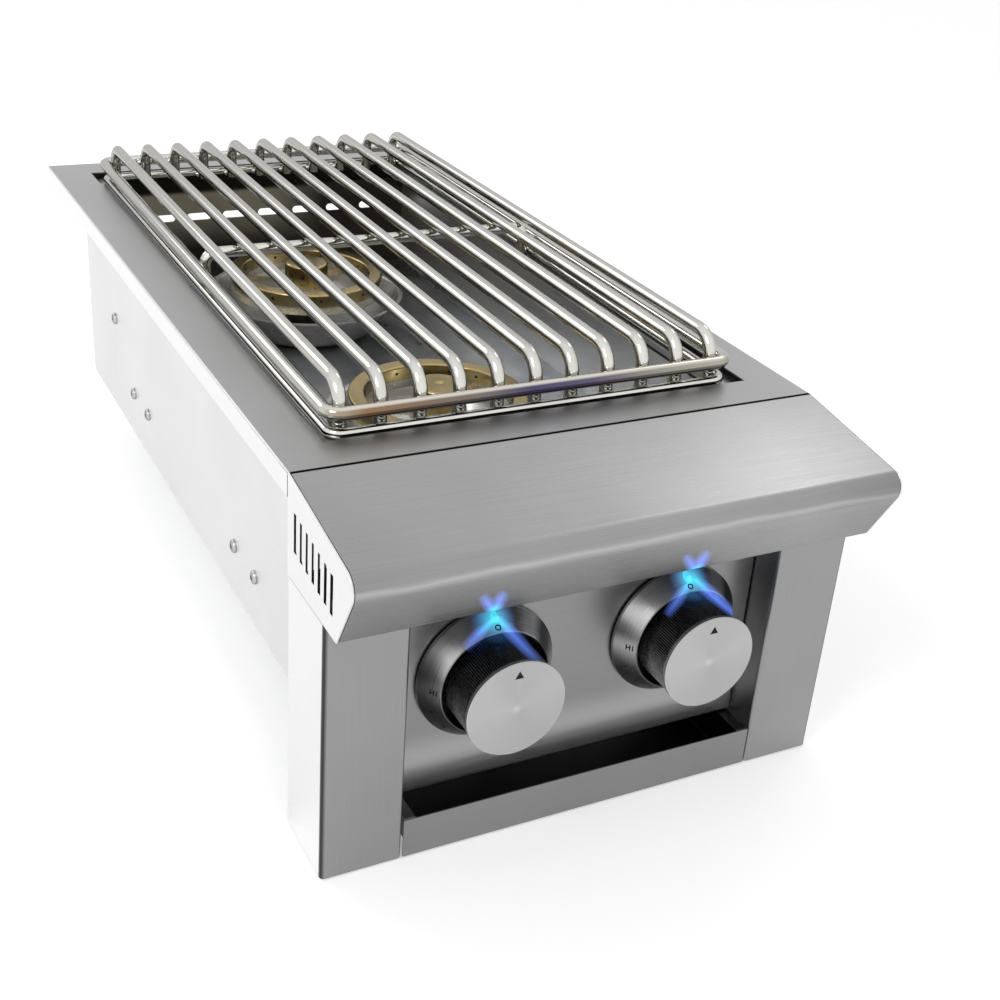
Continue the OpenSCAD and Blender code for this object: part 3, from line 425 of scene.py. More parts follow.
def turnedMetal(name, base, roughness, centre, axis, rings=1800, depth=0.25, spread=0.08, fan=None):
    # Fine lathe lines run round the axis: only the distance from it counts
    finish = Finish(name, base, 1.0, roughness)
    away = finish.offset(centre)
    finish.radius = finish.fromAxis(away, axis)
    pack = finish.node("ShaderNodeCombineXYZ")
    finish.put(finish.times(finish.radius, rings), pack.inputs[0])
    lines = finish.noise(1.0, 3, 0.7, pack.outputs[0])
    clouds = finish.noise(40.0, 2)
    tone = finish.calc("ADD", finish.span(lines, 0.25, 0.75, 0.0, 0.7), finish.vary(clouds, 0.0, 0.3))
    finish.tone = finish.blend(tone, shaded(base, 1 - spread), shaded(base, 1 + spread))
    if fan:
        # Painted highlights and shade: light and dark sectors as spun metal shows them
        finish.tone = finish.toned(finish.tone, finish.fan(away, fan))
    finish.colour(finish.tone)
    finish.rough(lines, roughness - 0.05, roughness + 0.07)
    finish.bump(lines, depth, 0.04)
    return finish


def heatedSteel(name, base, roughness, warm, amount=0.6):
    finish = Finish(name, base, 1.0, roughness)
    patches = finish.noise(14.0, 4, 0.6)
    grain = finish.noise(1.0, 3, 0.5, finish.mapped((60, 60, 900)))
    finish.tone = finish.blend(finish.span(patches, 0.35, 0.7, 0.0, amount), base, warm)
    finish.colour(finish.tone)
    finish.rough(grain, roughness - 0.08, roughness + 0.1)
    finish.bump(grain, 0.15, 0.04)
    return finish


def castMetal(name, base, roughness, metallic=0.6):
    finish = Finish(name, base, metallic, roughness)
    grit = finish.noise(900.0, 4, 0.7)
    patches = finish.noise(60.0)
    finish.colour(finish.blend(finish.vary(patches), shaded(base, 0.7), shaded(base, 1.4)))
    finish.rough(grit, roughness - 0.08, roughness + 0.08)
    finish.bump(grit, 0.3, 0.1)
    return finish


def markBlack(name):
    base = grey(0.006)
    finish = Finish(name, base, 0.0, 0.6)
    dust = finish.noise(400.0)
    finish.colour(finish.blend(finish.span(dust, 0.4, 0.8), base, (0.014, 0.014, 0.015)))
    finish.rough(dust, 0.5, 0.7)
    finish.set("Specular IOR Level", 0.2)
    finish.bump(dust, 0.2, 0.03)
    return finish


def glazedCeramic(name):
    base = (0.82, 0.79, 0.7)
    finish = Finish(name, base, 0.0, 0.2)
    stain = finish.noise(180.0, 4)
    finish.colour(finish.blend(finish.span(stain, 0.45, 0.8), base, (0.55, 0.48, 0.38)))
    finish.rough(stain, 0.15, 0.4)
    finish.bump(stain, 0.1, 0.05)
    return finish


# The cap and side tones are lit copies of the steel: painted light makes the end caps and side panels near
# white
tones = {
    "flange": grey(0.36), "nose": grey(0.47), "cap": grey(0.79), "fascia": grey(0.31), "panel": grey(0.27),
    "tray": grey(0.26), "side": grey(0.71), "well": (0.46, 0.475, 0.50), "wire": (0.78, 0.77, 0.72),
    "brass": (0.60, 0.47, 0.22), "dish": (0.9, 0.9, 0.88), "bezel": grey(0.58), "face": grey(0.49),
}
acrossGrain = (14, 1300, 1300)
# Painted highlight and shade on the nose: grey steps by height for the fold and across the width for the ends
noseLook = {
    "wave": 2.2 * mm, "height": (-46 * mm, 14 * mm), "width": (-165 * mm, 165 * mm),
    "seam": (-0.95 * mm, -0.75 * mm),
    "fold": [(0.0, 0.62), (0.42, 0.64), (0.57, 0.7), (0.625, 0.98), (0.66, 0.74), (0.74, 0.73), (0.85, 0.79),
             (1.0, 0.8)],
    "ends": [(0.0, 0.92), (0.2, 0.96), (0.62, 1.0), (0.82, 0.96), (0.93, 0.8), (1.0, 0.74)],
}


def noseSteel(look):
    # Painted light: the fold at the front darkens downwards under a painted highlight line, the tone changes
    # across the width, and painted shade lies along the seam edge
    finish = brushedSteel("nose steel", tones["nose"], 0.30, acrossGrain)
    wave = finish.vary(finish.noise(1.0, 2, 0.5, finish.mapped((9, 0, 0))), -look["wave"], look["wave"])
    height = finish.calc("ADD", finish.along("Z"), wave)
    tone = finish.toned(finish.tone, finish.ramp(finish.span(height, *look["height"]), look["fold"]))
    tone = finish.toned(tone, finish.ramp(finish.fade("X", 0, look["width"]), look["ends"]))
    finish.colour(finish.blend(finish.fade("Y", 0, look["seam"]), tone, grey(0.02)))
    return finish


panelLook = {"foot": (43 * mm, -1 * mm), "rise": 1.6, "footTone": grey(0.95)}


def panelSteel(look):
    # Painted light: paler towards the foot, where the panel mirrors the shaded tray
    finish = brushedSteel("panel steel", tones["panel"], 0.33, acrossGrain)
    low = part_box("control_panel")[0]
    foot = finish.calc("POWER", finish.fade("Z", low.z, look["foot"]), look["rise"])
    finish.colour(finish.blend(foot, finish.tone, look["footTone"]))
    return finish


postLook = {"side": (-0.3 * mm, -0.05 * mm), "bend": (-2.4 * mm, -0.8 * mm), "front": (3.5 * mm, 2.4 * mm)}


def postSteel(look):
    # Painted light on the outer sides, as bright as the end caps, and painted shade on the bend between front
    # and side
    finish = brushedSteel("post steel", tones["fascia"], 0.33, (1400, 1400, 16))
    low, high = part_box("right_post")
    tone = finish.blend(finish.fade("X", high.x, look["side"], 0), finish.tone, tones["cap"])
    bend = finish.times(finish.fade("X", high.x, look["bend"], 0), finish.fade("Y", low.y, look["front"]))
    finish.colour(finish.blend(bend, tone, grey(0.05)))
    return finish


flangeLook = {"rim": (-27.6 * mm, -28.1 * mm), "lip": (-0.4 * mm, -1.4 * mm), "seam": (0.6 * mm, 0.4 * mm),
              "side": (-0.7 * mm, -0.1 * mm), "shade": (0.03, 0.03, 0.028)}


def flangeSteel(look):
    # Painted shade on the lip that turns down into the well and along the front seam, and painted light on
    # the outer edges, as bright as the end caps
    finish = brushedSteel("flange steel", tones["flange"], 0.34, (40, 1500, 1500))
    low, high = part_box("top_frame")
    centre = (low.y + high.y) / 2
    lip = finish.times(finish.fade("X", high.x, look["rim"], 0),
                       finish.fade("Y", high.y - centre, look["rim"], centre),
                       finish.fade("Z", high.z, look["lip"]))
    tone = finish.blend(finish.fade("X", high.x, look["side"], 0), finish.tone, tones["cap"])
    shade = finish.calc("MAXIMUM", lip, finish.fade("Y", low.y, look["seam"]))
    finish.colour(finish.blend(shade, tone, look["shade"]))
    return finish


trayLook = {"behindFront": (1.6 * mm, 2.4 * mm), "within": (-0.6 * mm, -0.78 * mm),
            "above": (0.6 * mm, 0.78 * mm)}


def traySteel(look):
    # Painted shade on the tray's inside
    finish = brushedSteel("tray steel", tones["tray"], 0.33, acrossGrain)
    low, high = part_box("drip_tray")
    inner = finish.times(finish.fade("Y", low.y, look["behindFront"]),
                         finish.fade("Y", high.y, look["within"]),
                         finish.fade("X", high.x, look["within"], 0),
                         finish.fade("Z", low.z, look["above"]))
    finish.colour(finish.blend(inner, finish.tone, grey(0.05)))
    return finish


backLook = {"insideDark": (0.09, 0.085, 0.075), "warm": (0.07, 0.05, 0.035), "bandTop": (-8 * mm, -11 * mm),
            "bandFoot": (-58 * mm, -30 * mm), "bandEnd": (65 * mm, 15 * mm), "bandTone": (0.8, 0.75, 0.6),
            "outside": (-0.6 * mm, -0.4 * mm)}


def backSteel(look):
    # Dark inside, with a painted reflection of the lit floor in a band, and plain steel outside
    finish = heatedSteel("back wall steel", look["insideDark"], 0.4, look["warm"], 0.8)
    band = finish.times(finish.fade("Z", 0, look["bandTop"]), finish.fade("Z", 0, look["bandFoot"]),
                        finish.fade("X", 0, look["bandEnd"]), 0.8)
    tone = finish.blend(band, finish.tone, look["bandTone"])
    outside = finish.fade("Y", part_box("back_panel")[1].y, look["outside"])
    finish.colour(finish.blend(outside, tone, grey(0.5)))
    return finish


castingLook = {"foot": (-6.3 * mm, -9.9 * mm), "dull": (0.55, 0.52, 0.44), "bright": (0.74, 0.72, 0.65),
               "shade": (0.03, 0.028, 0.024)}


def castingBrass(look):
    # Bright arms above, painted shade on the casting's foot
    finish = castMetal("burner brass", tones["brass"], 0.24, 1.0)
    tone = finish.blend(finish.vary(finish.noise(50.0)), look["dull"], look["bright"])
    foot = finish.fade("Z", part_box("front_burner_base")[1].z, look["foot"])
    finish.colour(finish.blend(foot, tone, look["shade"]))
    return finish


capFinish = brushedSteel("end cap steel", tones["cap"], 0.36, acrossGrain, 0.03, 0.02)
slotFinish = castMetal("slot shade", grey(0.012), 0.7)
sideFinish = brushedSteel("side steel", tones["side"], 0.42, (1300, 20, 1300), 0.04, 0.04)
wellFinish = heatedSteel("well steel", tones["well"], 0.34, (0.4, 0.39, 0.37))
wireFinish = polishedWire("grate wire", tones["wire"], 0.1, 1.0, tintAndPaintedLightLook)
dishFinish = polishedWire("dish steel", tones["dish"], 0.26, 0.6)
tubeFinish = heatedSteel("tube steel", (0.45, 0.45, 0.46), 0.32, (0.35, 0.33, 0.3), 0.4)
valveFinish = castMetal("valve brass", (0.45, 0.31, 0.11), 0.35)
stemFinish = polishedWire("stem steel", grey(0.6), 0.25)
blackFinish = markBlack("mark black")
ceramicFinish = glazedCeramic("electrode ceramic")
flangeFinish = flangeSteel(flangeLook)
noseFinish = noseSteel(noseLook)
panelFinish = panelSteel(panelLook)
trayFinish = traySteel(trayLook)
backFinish = backSteel(backLook)
fasciaFinish = postSteel(postLook)
baseFinish = castingBrass(castingLook)
print("finishes made")


# Painted blue lamp light: glowing streaks on the bezels, grips and nose that lean back into the knob and fade
# along their way, with their places in mm

glowSizes = {
    "left": {"core": (-62.6, -44, -68.6), "low": ((-80, -45, -83.2), (-48.2, -68, -85.3)),
             "foot": (-79, -70.9, -45.2), "high": ((-91.2, -79.8, -28.6), (-78.4, -79.5, -29.2)),
             "lean": (0.41, 0.74, -0.53)},
    "right": {"core": (64.6, -44, -70.2), "low": ((49.8, -45, -91), (87.1, -68, -90.9)),
              "foot": (45.6, -69.8, -46.9), "high": ((30, -79.4, -29.6), (44.6, -79.4, -29.7)),
              "lean": (0.52, 0.68, -0.51)},
    "wide": 5.2 * mm, "thin": 3.4 * mm, "soft": 1.1,
    "begin": (-0.15, 0.05), "end": (1.05, 0.15), "close": (1.35, 1.05),
    "spot": {"low": 14.95 * mm, "high": 7.8 * mm},
    "coreTone": (0.05, 0.85, 1.0), "edgeTone": (0.14, 0.26, 0.95),
}


def lampStreak(finish, start, end, lean, sizes):
    # The streak lies in the plane through its start and end that leans along the given way
    start, end, lean = Vector(start) * mm, Vector(end) * mm, Vector(lean).normalized()
    way = end - start
    along = way - lean * way.dot(lean)
    here = finish.offset(start)
    share = finish.vector("DOT_PRODUCT", here, along / along.length_squared)
    aside = finish.calc("ABSOLUTE", finish.vector("DOT_PRODUCT", here, way.cross(lean).normalized()))
    width = finish.span(share, 0.0, 1.0, sizes["wide"], sizes["thin"])
    beside = finish.calc("SUBTRACT", 1.0, finish.calc("DIVIDE", aside, width), True)
    beside = finish.calc("POWER", beside, sizes["soft"])
    fade = finish.calc("POWER", finish.span(share, *sizes["end"]), 0.5)
    close = finish.span(finish.vector("LENGTH", here), *(way.length * limit for limit in sizes["close"]))
    return finish.times(beside, finish.span(share, *sizes["begin"]), fade, close)


def lampLight(finish, side, part, strength):
    sizes = glowSizes[side]
    start = sizes["foot"] if part == "high" else sizes["core"]
    streaks = [lampStreak(finish, start, end, sizes["lean"], glowSizes) for end in sizes[part]]
    away = finish.vector("LENGTH", finish.offset(Vector(start) * mm))
    spot = finish.calc("POWER", finish.span(away, glowSizes["spot"][part], 0.0), 1.5)
    glow = finish.calc("MAXIMUM", finish.calc("MAXIMUM", *streaks), spot)
    tone = finish.blend(finish.calc("POWER", spot, 0.7), glowSizes["edgeTone"], glowSizes["coreTone"])
    return finish.times(glow, strength), tone


def shineOn(finish, *lights):
    # Of several lights on one finish the stronger one counts
    strength, tone = lights[0]
    for more, other in lights[1:]:
        tone = finish.blend(finish.calc("GREATER_THAN", more, strength), tone, other)
        strength = finish.calc("MAXIMUM", strength, more)
    finish.set("Emission Color", tone)
    finish.set("Emission Strength", strength)


# Painted highlights and shade round the spun and knurled parts: (degrees from +X towards +Z, grey)
bezelPaintedLight = [(-180, 0.62), (-158, 0.34), (-130, 0.5), (-100, 0.8), (-60, 0.45), (-15, 0.6), (5, 0.8),
            (22, 0.3), (38, 0.2), (49, 1.0), (60, 0.9), (70, 0.4), (95, 0.4), (115, 0.3), (132, 0.4),
            (145, 1.0), (156, 0.85), (167, 0.45), (180, 0.62)]
facePaintedLight = [(-180, 1.0), (-150, 0.95), (-110, 0.9), (-60, 0.86), (-20, 0.9), (20, 0.96), (60, 0.92),
           (100, 0.9), (140, 0.97), (180, 1.0)]
gripPaintedLight = [(-180, 0.65), (-165, 0.9), (-140, 1.0), (-120, 0.9), (-95, 0.3), (0, 0.15), (60, 0.14),
           (120, 0.16), (160, 0.3), (180, 0.65)]
knobLook = {"bore": (33.7 * mm, 32.5 * mm), "seam": (-1.5 * mm, -1.2 * mm), "ridge": (28.1 * mm, 28.45 * mm),
            "shine": (5 * mm, 0.0)}


def bezelFinish(side, centre, look):
    finish = turnedMetal(side + " bezel metal", tones["bezel"], 0.3, centre, 1, 1500, 0.15, 0.12, bezelPaintedLight)
    # Painted shade in the bore and along the seam at the foot
    seam = finish.fade("Y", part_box(side + "_bezel")[1].y, look["seam"])
    shade = finish.calc("MAXIMUM", finish.span(finish.radius, *look["bore"]), seam)
    finish.colour(finish.blend(shade, finish.tone, grey(0.012)))
    # Painted glow of the blue lamp on the bezel
    shineOn(finish, lampLight(finish, side, "low", 1.2))
    return finish


def gripFinish(side, centre, look):
    # Painted glints: the ribs are lighter than the grooves between them, most in the lower-left sector
    finish = Finish(side + " grip black", grey(0.03), 0.9, 0.3)
    away = finish.offset(centre)
    dust = finish.noise(350.0)
    ribGlint = finish.blend(finish.vary(dust), grey(0.5), grey(0.85))
    ridge = finish.span(finish.fromAxis(away, 1), *look["ridge"])
    finish.colour(finish.toned(finish.blend(ridge, grey(0.04), ribGlint), finish.fan(away, gripPaintedLight)))
    finish.rough(dust, 0.24, 0.4)
    finish.bump(dust, 0.1, 0.02)
    # Painted glow of the blue lamp on the grip
    shineOn(finish, lampLight(finish, side, "low", 0.9))
    return finish


def faceFinish(side, centre, look):
    finish = turnedMetal(side + " face metal", tones["face"], 0.34, centre, 1, 2200, 0.1, 0.05, facePaintedLight)
    # Painted highlight at the centre of the face
    shine = finish.calc("POWER", finish.span(finish.radius, *look["shine"]), 2.0)
    finish.colour(finish.blend(shine, finish.tone, grey(0.6)))
    return finish


lampFinish = Finish("lamp blue", (0.1, 0.5, 0.9), 0.0, 0.1)
lampFinish.set("Emission Color", (0.05, 0.7, 1.0, 1))
lampFinish.set("Emission Strength", 0.8)
lampFinish.colour(lampFinish.blend(lampFinish.noise(300.0), (0.1, 0.5, 0.9), (0.3, 0.8, 1.0)))
# Painted glow of the blue lamps on the nose
shineOn(noseFinish, lampLight(noseFinish, "left", "high", 1.2), lampLight(noseFinish, "right", "high", 1.2))
print("lamp light made")


# Stage: pale floor, soft light and the camera at the photograph's angle

stageSizes = {"floorSide": 30.0, "floorDrop": 1 * mm, "floorTone": grey(0.86), "floorGlow": 0.35,
              "skyGlow": (0.7, 1.0)}
cameraSizes = {"place": (-0.3852, -0.6259, 0.3510), "look": (0.4262, 0.7765, -0.4641),
               "up": (0.1537, 0.4434, 0.8831), "lens": 52.48, "sensor": 36, "nearest": 0.01, "farthest": 100}
lampSizes = {
    "key": {"place": (-1.4, -0.6, 1.4), "aim": (0, 0.2, 0), "size": (0.8, 0.8), "energy": 12},
    "rim": {"place": (1.36, 0.86, 1.36), "aim": (0, 0, 0), "size": (0.5, 0.6), "energy": 1.7},
    "window": {"place": (-0.86, 1.9, 0.98), "aim": (0, 0.3, 0), "size": (0.9, 0.7), "energy": 6},
}


def makeCamera(sizes):
    data = bpy.data.cameras.new("camera")
    data.lens = sizes["lens"]
    data.sensor_width = sizes["sensor"]
    data.clip_start, data.clip_end = sizes["nearest"], sizes["farthest"]
    camera = bpy.data.objects.new("camera", data)
    bpy.context.scene.collection.objects.link(camera)
    back = -Vector(sizes["look"]).normalized()
    right = Vector(sizes["up"]).cross(back).normalized()
    camera.location = sizes["place"]
    camera.rotation_euler = facing(right, back.cross(right), back)
    bpy.context.scene.camera = camera


def makeFloor(sizes):
    dropSelection()
    bpy.ops.mesh.primitive_plane_add(size=sizes["floorSide"], location=(0, 0, cadLow.z - sizes["floorDrop"]))
    floor = startPiece("floor")
    finish = Finish("floor white", sizes["floorTone"], 0.0, 0.9)
    seen = finish.seenBy("Is Camera Ray", "Is Glossy Ray", "Is Transmission Ray")
    finish.set("Emission Color", (1, 1, 1, 1))
    finish.set("Emission Strength", finish.times(seen, sizes["floorGlow"]))
    floor.data.materials.append(finish.material)


def makeWorld(sizes):
    world = bpy.data.worlds.new("studio")
    bpy.context.scene.world = world
    world.use_nodes = True
    sky = NodeTree(world.node_tree)
    background = sky.tree.nodes["Background"]
    sky.put((1, 1, 1, 1), background.inputs["Color"])
    glow = sky.span(sky.seenBy("Is Camera Ray", "Is Glossy Ray"), 0.0, 1.0, *sizes["skyGlow"])
    sky.put(glow, background.inputs["Strength"])


def makeLamp(name, sizes):
    data = bpy.data.lights.new(name, "AREA")
    data.shape = "RECTANGLE"
    data.size, data.size_y = sizes["size"]
    data.energy = sizes["energy"]
    lamp = bpy.data.objects.new(name, data)
    lamp.location = sizes["place"]
    lamp.rotation_mode = "QUATERNION"
    lamp.rotation_quaternion = (Vector(sizes["aim"]) - Vector(sizes["place"])).to_track_quat("-Z", "Y")
    bpy.context.scene.collection.objects.link(lamp)


makeCamera(cameraSizes)
makeFloor(stageSizes)
makeWorld(stageSizes)
for name, sizes in lampSizes.items():
    makeLamp(name, sizes)
bpy.context.scene.view_settings.view_transform = "Standard"
print("stage made")


# Turned pieces: a circle drawn along its axis, ring after ring

poleRadius = 0.01 * mm


def turnedPiece(name, centre, axis, profile, sides, closed=False):
    # profile lists (radius, distance along the axis); a radius of 0 closes that end at a pole
    centre, along = Vector(centre), Vector(axis)
    rings = [(max(radius, poleRadius), place) for radius, place in profile]
    radius, place = rings[0]
    dropSelection()
    bpy.ops.mesh.primitive_circle_add(vertices=sides, radius=radius, fill_type="NOTHING",
                                      location=centre + along * place, rotation=aimed(along))
    piece = startPiece(name)
    editing(piece, "EDGE", "SELECT")
    for nextRadius, nextPlace in rings[1:]:
        pullEdges(along * (nextPlace - place))
        share = nextRadius / radius
        bpy.ops.transform.resize(value=(share, share, share), center_override=centre + along * nextPlace)
        radius, place = nextRadius, nextPlace
    endEdit()
    if not closed:
        for endRadius, endPlace in (rings[0], rings[-1]):
            closeEnd(piece, centre + along * endPlace, endRadius, along)
    return piece


def closeEnd(piece, place, radius, along):
    # A fine ring becomes one pole, a wide one gets a flat cap
    mesh = editing(piece)
    for vertex in mesh.verts:
        away = vertex.co - place
        if near(away.dot(along), 0, 0.002 * mm) and near(away.length, radius, 0.02 * mm):
            vertex.select_set(True)
    mesh.select_flush(True)
    bmesh.update_edit_mesh(piece.data)
    if radius <= poleRadius:
        bpy.ops.mesh.merge(type="CENTER")
    else:
        bpy.ops.mesh.edge_face_add()
    endEdit()


def cutWith(piece, cutter):
    pick(piece)
    cut = piece.modifiers.new("cut", "BOOLEAN")
    cut.operation = "DIFFERENCE"
    cut.solver = "EXACT"
    cut.object = cutter
    bpy.ops.object.modifier_apply(modifier=cut.name)
    bpy.data.objects.remove(cutter)


def cutterRod(start, end, radius, sides):
    dropSelection()
    bpy.ops.mesh.primitive_cylinder_add(vertices=sides, radius=radius, depth=(end - start).length,
                                        location=(start + end) / 2, rotation=aimed(end - start))
    return startPiece("cutter")


# Sheet pieces: a plane for the first leg, and each next leg pulled out of its last edge

sheetEdge = 0.2 * mm


def foldedSheet(name, corners, span, thickness, radii, steps=6):
    # radii gives the bend at each numbered corner
    corners, span = [Vector(c) for c in corners], Vector(span)
    first = corners[1] - corners[0]
    turn = facing(first.normalized(), span.normalized(), first.cross(span).normalized())
    dropSelection()
    bpy.ops.mesh.primitive_plane_add(size=1, location=corners[0] + (first + span) / 2, rotation=turn)
    bpy.context.object.scale = (first.length, span.length, 1)
    piece = startPiece(name)
    editing(piece, "EDGE")

    def chooseFold(i):
        chooseEdges(piece, lambda e: (middle(e) - corners[i] - span / 2).length < 0.05 * mm)

    for i in range(1, len(corners) - 1):
        chooseFold(i)
        pullEdges(corners[i + 1] - corners[i])
    for i, radius in radii.items():
        turned = (corners[i] - corners[i - 1]).angle(corners[i + 1] - corners[i])
        chooseFold(i)
        # This profile value makes the bevel a true circular bend at any angle
        profile = (1 - 0.5 / (1 + math.cos(turned / 2))) ** 2
        reach = radius * math.tan(turned / 2)
        bpy.ops.mesh.bevel(offset=reach, segments=steps, profile=profile, affect="EDGES")
    endEdit()
    thicken(piece, thickness)
    soften(piece, sheetEdge)
    return piece


def sheetFrom(node, name):
    # A part whose shape is right already: its copy is merged into plain faces
    piece = copyOf(nodes[node], name)
    editing(piece, action="SELECT")
    bpy.ops.mesh.remove_doubles(threshold=0.002 * mm)
    bpy.ops.mesh.dissolve_limited(angle_limit=math.radians(1))
    endEdit()
    return piece


def handSheet(node, name, edge, slot, finish, body="housing", smoothAngle=35):
    piece = sheetFrom(node, name)
    soften(piece, edge, smoothAngle=smoothAngle)
    hand(piece, body, slot, finish, node)
    return piece


def bevelEdges(piece, test, radius):
    chooseEdges(piece, test)
    bpy.ops.mesh.bevel(offset=radius, segments=4, affect="EDGES")
    endEdit()


# Flange round the well

flangeSizes = {"outerBend": 1.8 * mm, "cutEdge": 0.15 * mm}


def makeFlange(sizes):
    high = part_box("top_frame")[1]
    piece = sheetFrom("top_frame", "flangeSheet")

    def onRim(edge):
        place = middle(edge)
        outside = near(abs(place.x), high.x) or near(place.y, high.y)
        return outside and near(edge.verts[0].co.z, high.z) and near(edge.verts[1].co.z, high.z)

    editing(piece, "EDGE")
    bevelEdges(piece, onRim, sizes["outerBend"])
    soften(piece, sizes["cutEdge"])
    hand(piece, "housing", "brushed_steel", flangeFinish, "top_frame")


# Nose over the fascia, with a slotted cap at each end

noseSizes = {"top": 14 * mm, "foot": 1.2 * mm, "seam": 0.3 * mm, "reach": 96 * mm, "cornerZ": -0.5 * mm,
             "heelReach": 70.5 * mm, "heelZ": -45.5 * mm, "bend": 10.12 * mm, "seamBend": 1.5 * mm,
             "heelBend": 1.5 * mm, "sheet": 1.2 * mm, "capEdge": 0.3 * mm,
             "slotRoom": (-75 * mm, -8 * mm, -36 * mm, -3 * mm)}


def makeNose(sizes):
    low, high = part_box("nose_cover")
    seam, heelBack = -sizes["seam"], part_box("control_panel")[0].y - sizes["seam"]
    section = [(seam, sizes["foot"]), (seam, sizes["top"]), (-sizes["reach"], sizes["cornerZ"]),
               (-sizes["heelReach"], sizes["heelZ"]), (heelBack, sizes["heelZ"])]
    radii = {1: sizes["seamBend"], 2: sizes["bend"], 3: sizes["heelBend"]}
    piece = foldedSheet("noseSheet", [(low.x, y, z) for y, z in section], (high.x - low.x, 0, 0),
                        sizes["sheet"], radii, 8)
    hand(piece, "housing", "brushed_steel", noseFinish, "nose_cover")
    for side in ("left", "right"):
        cap = handSheet(side + "_end_cap", side + "EndCap", sizes["capEdge"], "brushed_steel", capFinish)
        darkenSlots(cap, sizes["slotRoom"])


def darkenSlots(cap, room):
    # Painted shade: the walls inside the slots get a near-black finish
    cap.data.materials.append(slotFinish.material)
    for face in cap.data.polygons:
        inRoom = room[0] < face.center.y < room[1] and room[2] < face.center.z < room[3]
        if inRoom and abs(face.normal.x) < 0.9:
            face.material_index = 1


# Fascia: posts, control panel and drip tray

fasciaSizes = {"sheet": 1.2 * mm, "postBend": 2.5 * mm, "postBack": -15 * mm, "wallGap": 0.1 * mm,
               "panelBend": 1.8 * mm, "panelReturn": 14 * mm, "stemHole": 9 * mm, "overrun": 5 * mm,
               "trayEdge": 0.5 * mm, "sideEdge": 0.3 * mm}


def makePosts(sizes):
    low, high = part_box("right_post")
    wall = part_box("right_side_panel")[1].x + sizes["wallGap"]
    section = [(low.x, sizes["postBack"]), (low.x, low.y), (high.x, low.y), (high.x, high.y), (wall, high.y)]
    for side in ("right", "left"):
        piece = foldedSheet(side + "PostSheet", [(x, y, low.z) for x, y in section], (0, 0, high.z - low.z),
                            sizes["sheet"], {i: sizes["postBend"] for i in (1, 2, 3)})
        if side == "left":
            flipAcross(piece)
            tidyMesh(piece)
        hand(piece, "housing", "brushed_steel", fasciaFinish, side + "_post")


def makePanel(sizes):
    low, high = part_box("control_panel")
    mid = (low + high) / 2
    dropSelection()
    bpy.ops.mesh.primitive_plane_add(size=1, location=(mid.x, low.y, mid.z), rotation=(quarterTurn, 0, 0))
    bpy.context.object.scale = (high.x - low.x, high.z - low.z, 1)
    piece = startPiece("panelSheet")
    editing(piece, "EDGE", "SELECT")
    pullEdges((0, sizes["panelReturn"], 0))
    bevelEdges(piece, lambda e: near(middle(e).y, low.y), sizes["panelBend"])
    thicken(piece, sizes["sheet"])
    applyAll(piece)
    for side in ("left", "right"):
        knob = middleOf(side + "_bezel")
        start = Vector((knob.x, low.y - sizes["overrun"], knob.z))
        end = Vector((knob.x, low.y + sizes["overrun"], knob.z))
        cutWith(piece, cutterRod(start, end, sizes["stemHole"], 48))
    tidyMesh(piece)
    hand(piece, "housing", "brushed_steel", panelFinish, "control_panel")


def makeTrayAndSides(sizes):
    handSheet("drip_tray", "traySheet", sizes["trayEdge"], "brushed_steel", trayFinish, "tray")
    for side in ("left", "right"):
        handSheet(side + "_side_panel", side + "SideSheet", sizes["sideEdge"], "brushed_steel", sideFinish)


# Pan-head screws on the housing's sides

screwSizes = {"head": 4.5 * mm, "rise": 2.4 * mm, "shank": 2.4 * mm, "shankLong": 5 * mm, "seat": 0.1 * mm,
              "domeShares": [(1, 0), (1, 0.3), (0.96, 0.55), (0.82, 0.8), (0.55, 0.96), (0, 1)],
              "slotLong": 4.6 * mm, "slotWide": 0.9 * mm, "slotDeep": 1.3 * mm,
              "spots": [(167, -123), (125.5, -123), (421, -123), (379.5, -123), (473, -80)]}


def makeScrews(sizes):
    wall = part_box("right_side_panel")[1].x + sizes["seat"]
    shank, foot = sizes["shank"], -sizes["shankLong"]
    profile = [(0, foot), (shank, foot), (shank, 0)]
    profile += [(sizes["head"] * out, sizes["rise"] * up) for out, up in sizes["domeShares"]]
    screw = turnedPiece("screw", (wall, 0, 0), (1, 0, 0), profile, 32)
    for long, wide in ((sizes["slotLong"], sizes["slotWide"]), (sizes["slotWide"], sizes["slotLong"])):
        dropSelection()
        bpy.ops.mesh.primitive_cube_add(size=1, location=(wall + sizes["rise"], 0, 0))
        bpy.context.object.scale = (2 * sizes["slotDeep"], long, wide)
        cutWith(screw, startPiece("cutter"))
    tidyMesh(screw)
    screws = []
    for flipped in (False, True):
        for y, z in sizes["spots"]:
            one = copyOf(screw, "screwCopy")
            shiftMesh(one, (0, y * mm, z * mm))
            if flipped:
                flipAcross(one)
            screws.append(one)
    bpy.data.objects.remove(screw)
    piece = joinPieces("housingScrews", screws)
    tidyMesh(piece)
    hand(piece, "housing", "stem_steel", stemFinish, "side_screws")


# Wire grate

grateSizes = {"sides": 24, "bendSteps": 10, "upperBend": 9 * mm, "lowerBend": 8 * mm, "rodBend": 14 * mm,
              "crossBend": 8 * mm, "rodRadius": 4 * mm, "rods": 11, "pitch": 24 * mm, "beadWide": 2.6 * mm,
              "beadLong": 4.2 * mm, "beadAside": 2.2 * mm, "beadDrop": 0.8 * mm}


